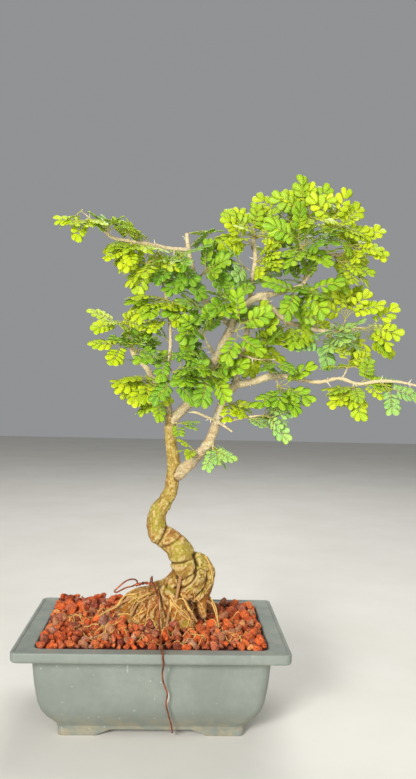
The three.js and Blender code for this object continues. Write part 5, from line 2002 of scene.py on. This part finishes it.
@dataclass(frozen=True)
class ScreenPlastic:
    """Dark plastic mesh of the drainage screens, with a film of dried silt."""

    base: str = "#272a29"
    silt: str = "#6d5a45"

    def material(self) -> bpy.types.Material:
        """Builds the finish.

        Returns:
            The material.
        """
        n = blank("screen_plastic")
        film = n.mottle(190, 0.45, 0.65)
        colour = n.layered(self.base, (self.silt, film, 0.6))
        return n.dressed(colour, n.band(film, 0, 1, 0.5, 0.85), n.bump(film, 0.0001, 0.5))


@dataclass(frozen=True)
class LavaStone:
    """Porous lava gravel, mostly orange red with brick, dusty pink and tan grains, with painted shade in its
    pores and on the bed between the stones.
    """

    grains: tuple[tuple[float, str], ...] = (
        (0.0, "#e2682c"), (0.15, "#bc4c1c"), (0.3, "#dc763c"), (0.44, "#8e3c1e"), (0.56, "#d05e28"),
        (0.68, "#ac6850"), (0.78, "#743224"), (0.88, "#bc8a60"), (0.95, "#a0766a"), (1.0, "#eca45a"),
    )
    brick: str = "#7d2f1e"
    dusty: str = "#e88a58"
    # Painted shade in the pores.
    pore_shade: str = "#531c12"
    # Colour of the bed: painted shade in the gaps between the stones.
    deep: str = "#4a1d14"

    def material(self) -> bpy.types.Material:
        """Builds the finish.

        Returns:
            The material.
        """
        n = blank("lava_stone")
        dust = n.mottle(420, 0.5, 0.66)
        pit = n.band(n.put("TexVoronoi", {"Vector": n.place, "Scale": 620.0}, "Distance"), 0.42, 0.12)
        colour = n.layered(
            n.ramp(n.value("stone"), list(self.grains)),
            (self.brick, n.mottle(150, 0.4, 0.62), 0.45),
            (self.dusty, dust, 0.5),
            # Painted shade in the pores.
            (self.pore_shade, pit, 0.5),
            # Painted shade on the bed between the stones.
            (self.deep, n.value("deep")),
        )
        normal = n.bump(n.less(n.noise(700, 4.0, 0.7), n.times(pit, 0.8)), 0.0009, 0.9)
        return n.dressed(colour, n.band(dust, 0, 1, 0.85, 0.97), normal, Specular_IOR_Level=0.25)


@dataclass(frozen=True)
class Bark:
    """Bark that runs from golden ochre on the exposed roots to pale grey-beige on the branches."""

    name: str = "bark"
    root: str = "#a8620f"
    trunk: str = "#ab9641"
    branch: str = "#c6bc9a"
    bump: float = 0.0011

    def material(self) -> bpy.types.Material:
        """Builds the finish: main colours, then patches, fibres, pits, stains, painted shade in the hollows
        and creases, painted highlights on the bulges, and pale spines.

        Returns:
            The material.
        """
        n = blank(self.name)
        thick, root, owner, hollow = (n.value(key) for key in ("thick", "root", "owner", "hollow"))
        aged = n.plus(thick, n.band(owner, 0.2, 0.9, 0.0, -0.28))
        patch = n.mottle(75, 0.38, 0.64)
        pale = n.times(n.mottle(130, 0.52, 0.66), n.band(thick, 0.2, 0.8, 0.3, 1.0))
        along, limb = n.times(n.value("along"), 0.16), n.times(owner, 5.0)
        strip = n.put("CombineXYZ", {"X": n.value("around"), "Y": along, "Z": limb})
        fibre = n.mottle(1.4, 0.3, 0.7, Place=strip)
        pits = n.mottle(360, 0.4, 0.6)
        flecks = n.specks(420, 0.3, 0.42)
        moss = n.times(n.band(n.upward(), -0.1, 0.7), n.mottle(70, 0.5, 0.62))
        moss = n.times(moss, n.band(thick, 0.4, 0.9, 0.0, 0.75), n.band(root, 0.1, 0.9, 0.5, 0.15))
        colour = n.layered(
            self.branch,
            (self.trunk, n.band(aged, 0.28, 0.68)),
            (self.root, root),
            ("#8e5c28", patch, n.band(thick, 0, 0.6, 0.2, 0.5)),
            ("#d2b868", pale, n.band(root, 0, 1, 0.5, 0.28)),
            ("#8a6427", fibre, root, 0.4),
            ("#865a24", pits, n.band(thick, 0.2, 0.9, 0.2, 0.5)),
            ("#6a4a2c", flecks, 0.6),
            ("#a05c28", n.value("rust"), 0.5),
            ("#a0992e", n.math("MAXIMUM", moss, n.times(n.value("moss"), 0.55))),
            # Painted shade in the hollows and creases, then a painted highlight on the bulges.
            ("#4e3016", n.band(hollow, 0.08, 0.8, 0.0, 0.85)),
            ("#e6cf96", n.band(hollow, -0.05, -0.6, 0.0, 0.45)),
            ("#e8e0cc", n.band(n.value("spine"), 0.0, 0.3, 0.0, 0.75)),
        )
        grain, strips = n.times(n.noise(620, 4.0, 0.65), 0.9), n.times(fibre, n.band(thick, 0, 1, 0.15, 0.4))
        height = n.less(n.plus(grain, strips), n.times(pits, 0.5), n.times(flecks, 0.3))
        normal = n.bump(height, self.bump, 0.8)
        return n.dressed(colour, n.band(patch, 0, 1, 0.72, 0.88), normal, Specular_IOR_Level=0.3)


@dataclass(frozen=True)
class Copper:
    """Bare copper wire gone brown, brighter where it rubs."""

    bright: str = "#b0603c"
    brown: str = "#6a3826"

    def material(self) -> bpy.types.Material:
        """Builds the finish.

        Returns:
            The material.
        """
        n = blank("copper")
        film = n.mottle(120, 0.36, 0.62)
        colour = n.layered(self.bright, (self.brown, film))
        normal = n.bump(n.noise(900), 0.0001, 0.5)
        return n.dressed(colour, n.band(film, 0, 1, 0.34, 0.6), normal, Metallic=0.65)


@dataclass(frozen=True)
class LeafSkin:
    """Leaflet with a pale midrib and margin, a matt pale underside lightened further by painted light
    shining through it, and greens that differ leaf by leaf.
    """

    tone: Tone
    young: str
    grown: str
    shade: str
    # Underside colour: pale in its own right and lightened further as painted light shining through the
    # leaf.
    under: str
    margin: str = "#cfdc7a"
    stalk: str = "#a9a24c"
    yellow: str = "#e2a41a"

    def material(self) -> bpy.types.Material:
        """Builds the finish; its side veins are slanted stripes that repeat nine times along the blade.

        Returns:
            The material.
        """
        n = blank(self.tone.value)
        leaf, under, along = (n.value(key) for key in ("leaf", "under", "blade_along"))
        across = n.math("ABSOLUTE", n.value("blade_across"), 0.0)
        patch = n.mottle(190, 0.4, 0.65)
        slant = n.math("FRACT", n.plus(n.times(along, 9.0), n.times(across, -3.2)), 0.0)
        stripes = n.band(n.math("ABSOLUTE", n.less(slant, 0.5), 0.0), 0.40, 0.5)
        vein = n.math("MAXIMUM", n.times(stripes, 0.5), n.band(across, 0.13, 0.02))
        colour = n.layered(
            self.young,
            (self.grown, n.value("tint")),
            (self.shade, n.band(leaf, 0.35, 1.0, 0.0, 0.8)),
            (self.young, patch, 0.25),
            (self.margin, vein, 0.42),
            (self.margin, n.math("MAXIMUM", n.band(across, 0.78, 1.0), n.band(along, 0.93, 1.0)), 0.35),
            # Underside: its own paler colour together with painted light shining through the leaf.
            (self.under, under, 0.6),
            (self.yellow, n.math("GREATER_THAN", leaf, 0.99)),
            (self.stalk, n.value("stalk")),
        )
        normal = n.bump(n.plus(vein, n.times(patch, 0.5)), 0.00025, 0.7)
        dull = n.plus(n.band(patch, 0, 1, 0.38, 0.5), n.times(under, 0.25))
        glow = {"Subsurface_Weight": 0.3, "Subsurface_Scale": 0.0015, "Subsurface_Radius": (0.7, 1.0, 0.15)}
        return n.dressed(colour, dull, normal, Specular_IOR_Level=0.25, **glow)


def finishes() -> dict[str, bpy.types.Material]:
    """Every finish of the object by its key.

    Returns:
        The materials.
    """
    makers = {
        "pot_plastic": PotPlastic(),
        "screen_plastic": ScreenPlastic(),
        "lava": LavaStone(),
        "bark": Bark(),
        "root_skin": Bark("root_skin", root="#e2b868", branch="#e2b868", bump=0.0003),
        "copper": Copper(),
        # The fourth colour of each leaf finish is its underside: pale in its own right and lightened further
        # as painted light shining through.
        LIME.value: LeafSkin(LIME, "#bccc00", "#98b406", "#6e9a0e", "#b6c04a"),
        GREEN.value: LeafSkin(GREEN, "#96b60a", "#6c9c12", "#4a8216", "#9fb35c"),
        PALE.value: LeafSkin(PALE, "#9fc04c", "#86b458", "#76a85a", "#b2ca9c", "#dfe9c0"),
    }
    return {key: maker.material() for key, maker in makers.items()}


@dataclass(frozen=True)
class Studio:
    """Camera at the view of the original picture, a pale floor and soft lights.

    The focal length is in the picture's pixels. The camera looks along yaw and pitch and rolls about
    that line. The lamps are square, each with its name, place in metres, size and watts.
    """

    focal: float = 802.3
    yaw: float = 2.21
    pitch: float = -0.38
    roll: float = 1.29
    lamps: tuple[tuple[str, tuple[float, float, float], float, float], ...] = (
        ("key", (-0.8, -1.7, 0.85), 0.5, 46),
        ("fill", (0.7, -1.7, 0.5), 1.2, 15),
        ("back", (0.3, 1.0, 1.9), 1.2, 26),
    )
    surround: tuple[float, float, float, float] = (0.86, 0.88, 0.9, 1)
    floor_side: float = 8.0

    def camera(self, frame: RowFrame) -> None:
        """Makes the camera the scene's.

        Args:
            frame: where the pot stands.
        """
        yaw, pitch, roll = map(math.radians, (self.yaw, self.pitch, self.roll))
        ahead = np.array([math.sin(yaw) * math.cos(pitch), math.cos(yaw) * math.cos(pitch), math.sin(pitch)])
        right = np.array([math.cos(yaw), -math.sin(yaw), 0])
        up = np.cross(right, ahead)
        cos, sin = math.cos(roll), math.sin(roll)
        right, up = right * cos + up * sin, up * cos - right * sin
        data = bpy.data.cameras.new("camera")
        data.sensor_width = 36
        data.lens = self.focal / IMAGE_LONG_SIDE * data.sensor_width
        data.clip_start = 0.01
        camera = bpy.data.objects.new("camera", data)
        turn = Matrix(np.column_stack([right, up, -ahead]).tolist()).to_4x4()
        camera.matrix_world = Matrix.Translation(frame.place(np.array(EYE)).tolist()) @ turn
        bpy.context.scene.collection.objects.link(camera)
        bpy.context.scene.camera = camera

    def light(self) -> None:
        """Three soft lamps and a pale surround."""
        aim = Vector((0, 0, 0.28))
        for name, place, size, watts in self.lamps:
            data = bpy.data.lights.new(name, "AREA")
            data.size, data.energy = size, watts
            lamp = bpy.data.objects.new(name, data)
            lamp.location = place
            lamp.rotation_mode = "QUATERNION"
            lamp.rotation_quaternion = (aim - Vector(place)).to_track_quat("-Z", "Y")
            bpy.context.scene.collection.objects.link(lamp)
        world = bpy.data.worlds.new("surround")
        world.use_nodes = True
        background = world.node_tree.nodes["Background"]
        background.inputs["Color"].default_value = self.surround
        background.inputs["Strength"].default_value = 0.33
        bpy.context.scene.world = world
        bpy.context.scene.view_settings.view_transform = "Standard"

    def floor(self) -> None:
        """A plain pale floor."""
        corners = np.array([(-1, -1, 0), (1, -1, 0), (1, 1, 0), (-1, 1, 0)]) * self.floor_side / 2 / MM
        mesh = Skin(corners, [np.array([[0, 1, 2, 3]])]).mesh("floor", RowFrame((0.0, 0.0)))
        floor = bpy.data.objects.new("floor", mesh)
        n = blank("floor")
        tone = n.mottle(6, 0.2, 0.8)
        colour = n.layered("#d6d2c8", ("#dedbd2", tone))
        mesh.materials.append(n.dressed(colour, 0.8, n.bump(tone, 0.0001, 0.2)))
        bpy.context.scene.collection.objects.link(floor)


def main() -> None:
    """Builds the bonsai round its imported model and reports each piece."""
    logging.basicConfig(level=logging.INFO, format="%(message)s")
    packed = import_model()
    low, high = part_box("pot")
    frame = RowFrame(((low.x + high.x) / 2 / MM, (low.y + high.y) / 2 / MM))
    for make in (Effect.mottle, Effect.specks, Effect.grime):
        make()
    studio = Studio()
    studio.camera(frame)
    studio.light()
    studio.floor()
    shop = Workshop(frame, finishes())
    pot, wood = Pot(), Wood()
    pot.build(shop)
    for name in ("drainage_screen_left", "drainage_screen_right"):
        mesh = packed["nodes"][name].data
        mesh.materials.clear()
        mesh.materials.append(shop.finishes["screen_plastic"])
    gravel = Gravel().build(shop, pot, wood.keep_out())
    tree = wood.build(shop)
    Rootlets().build(shop, tree, gravel)
    TieWire().build(shop)
    Foliage().build(shop)


if __name__ == "__main__":
    main()
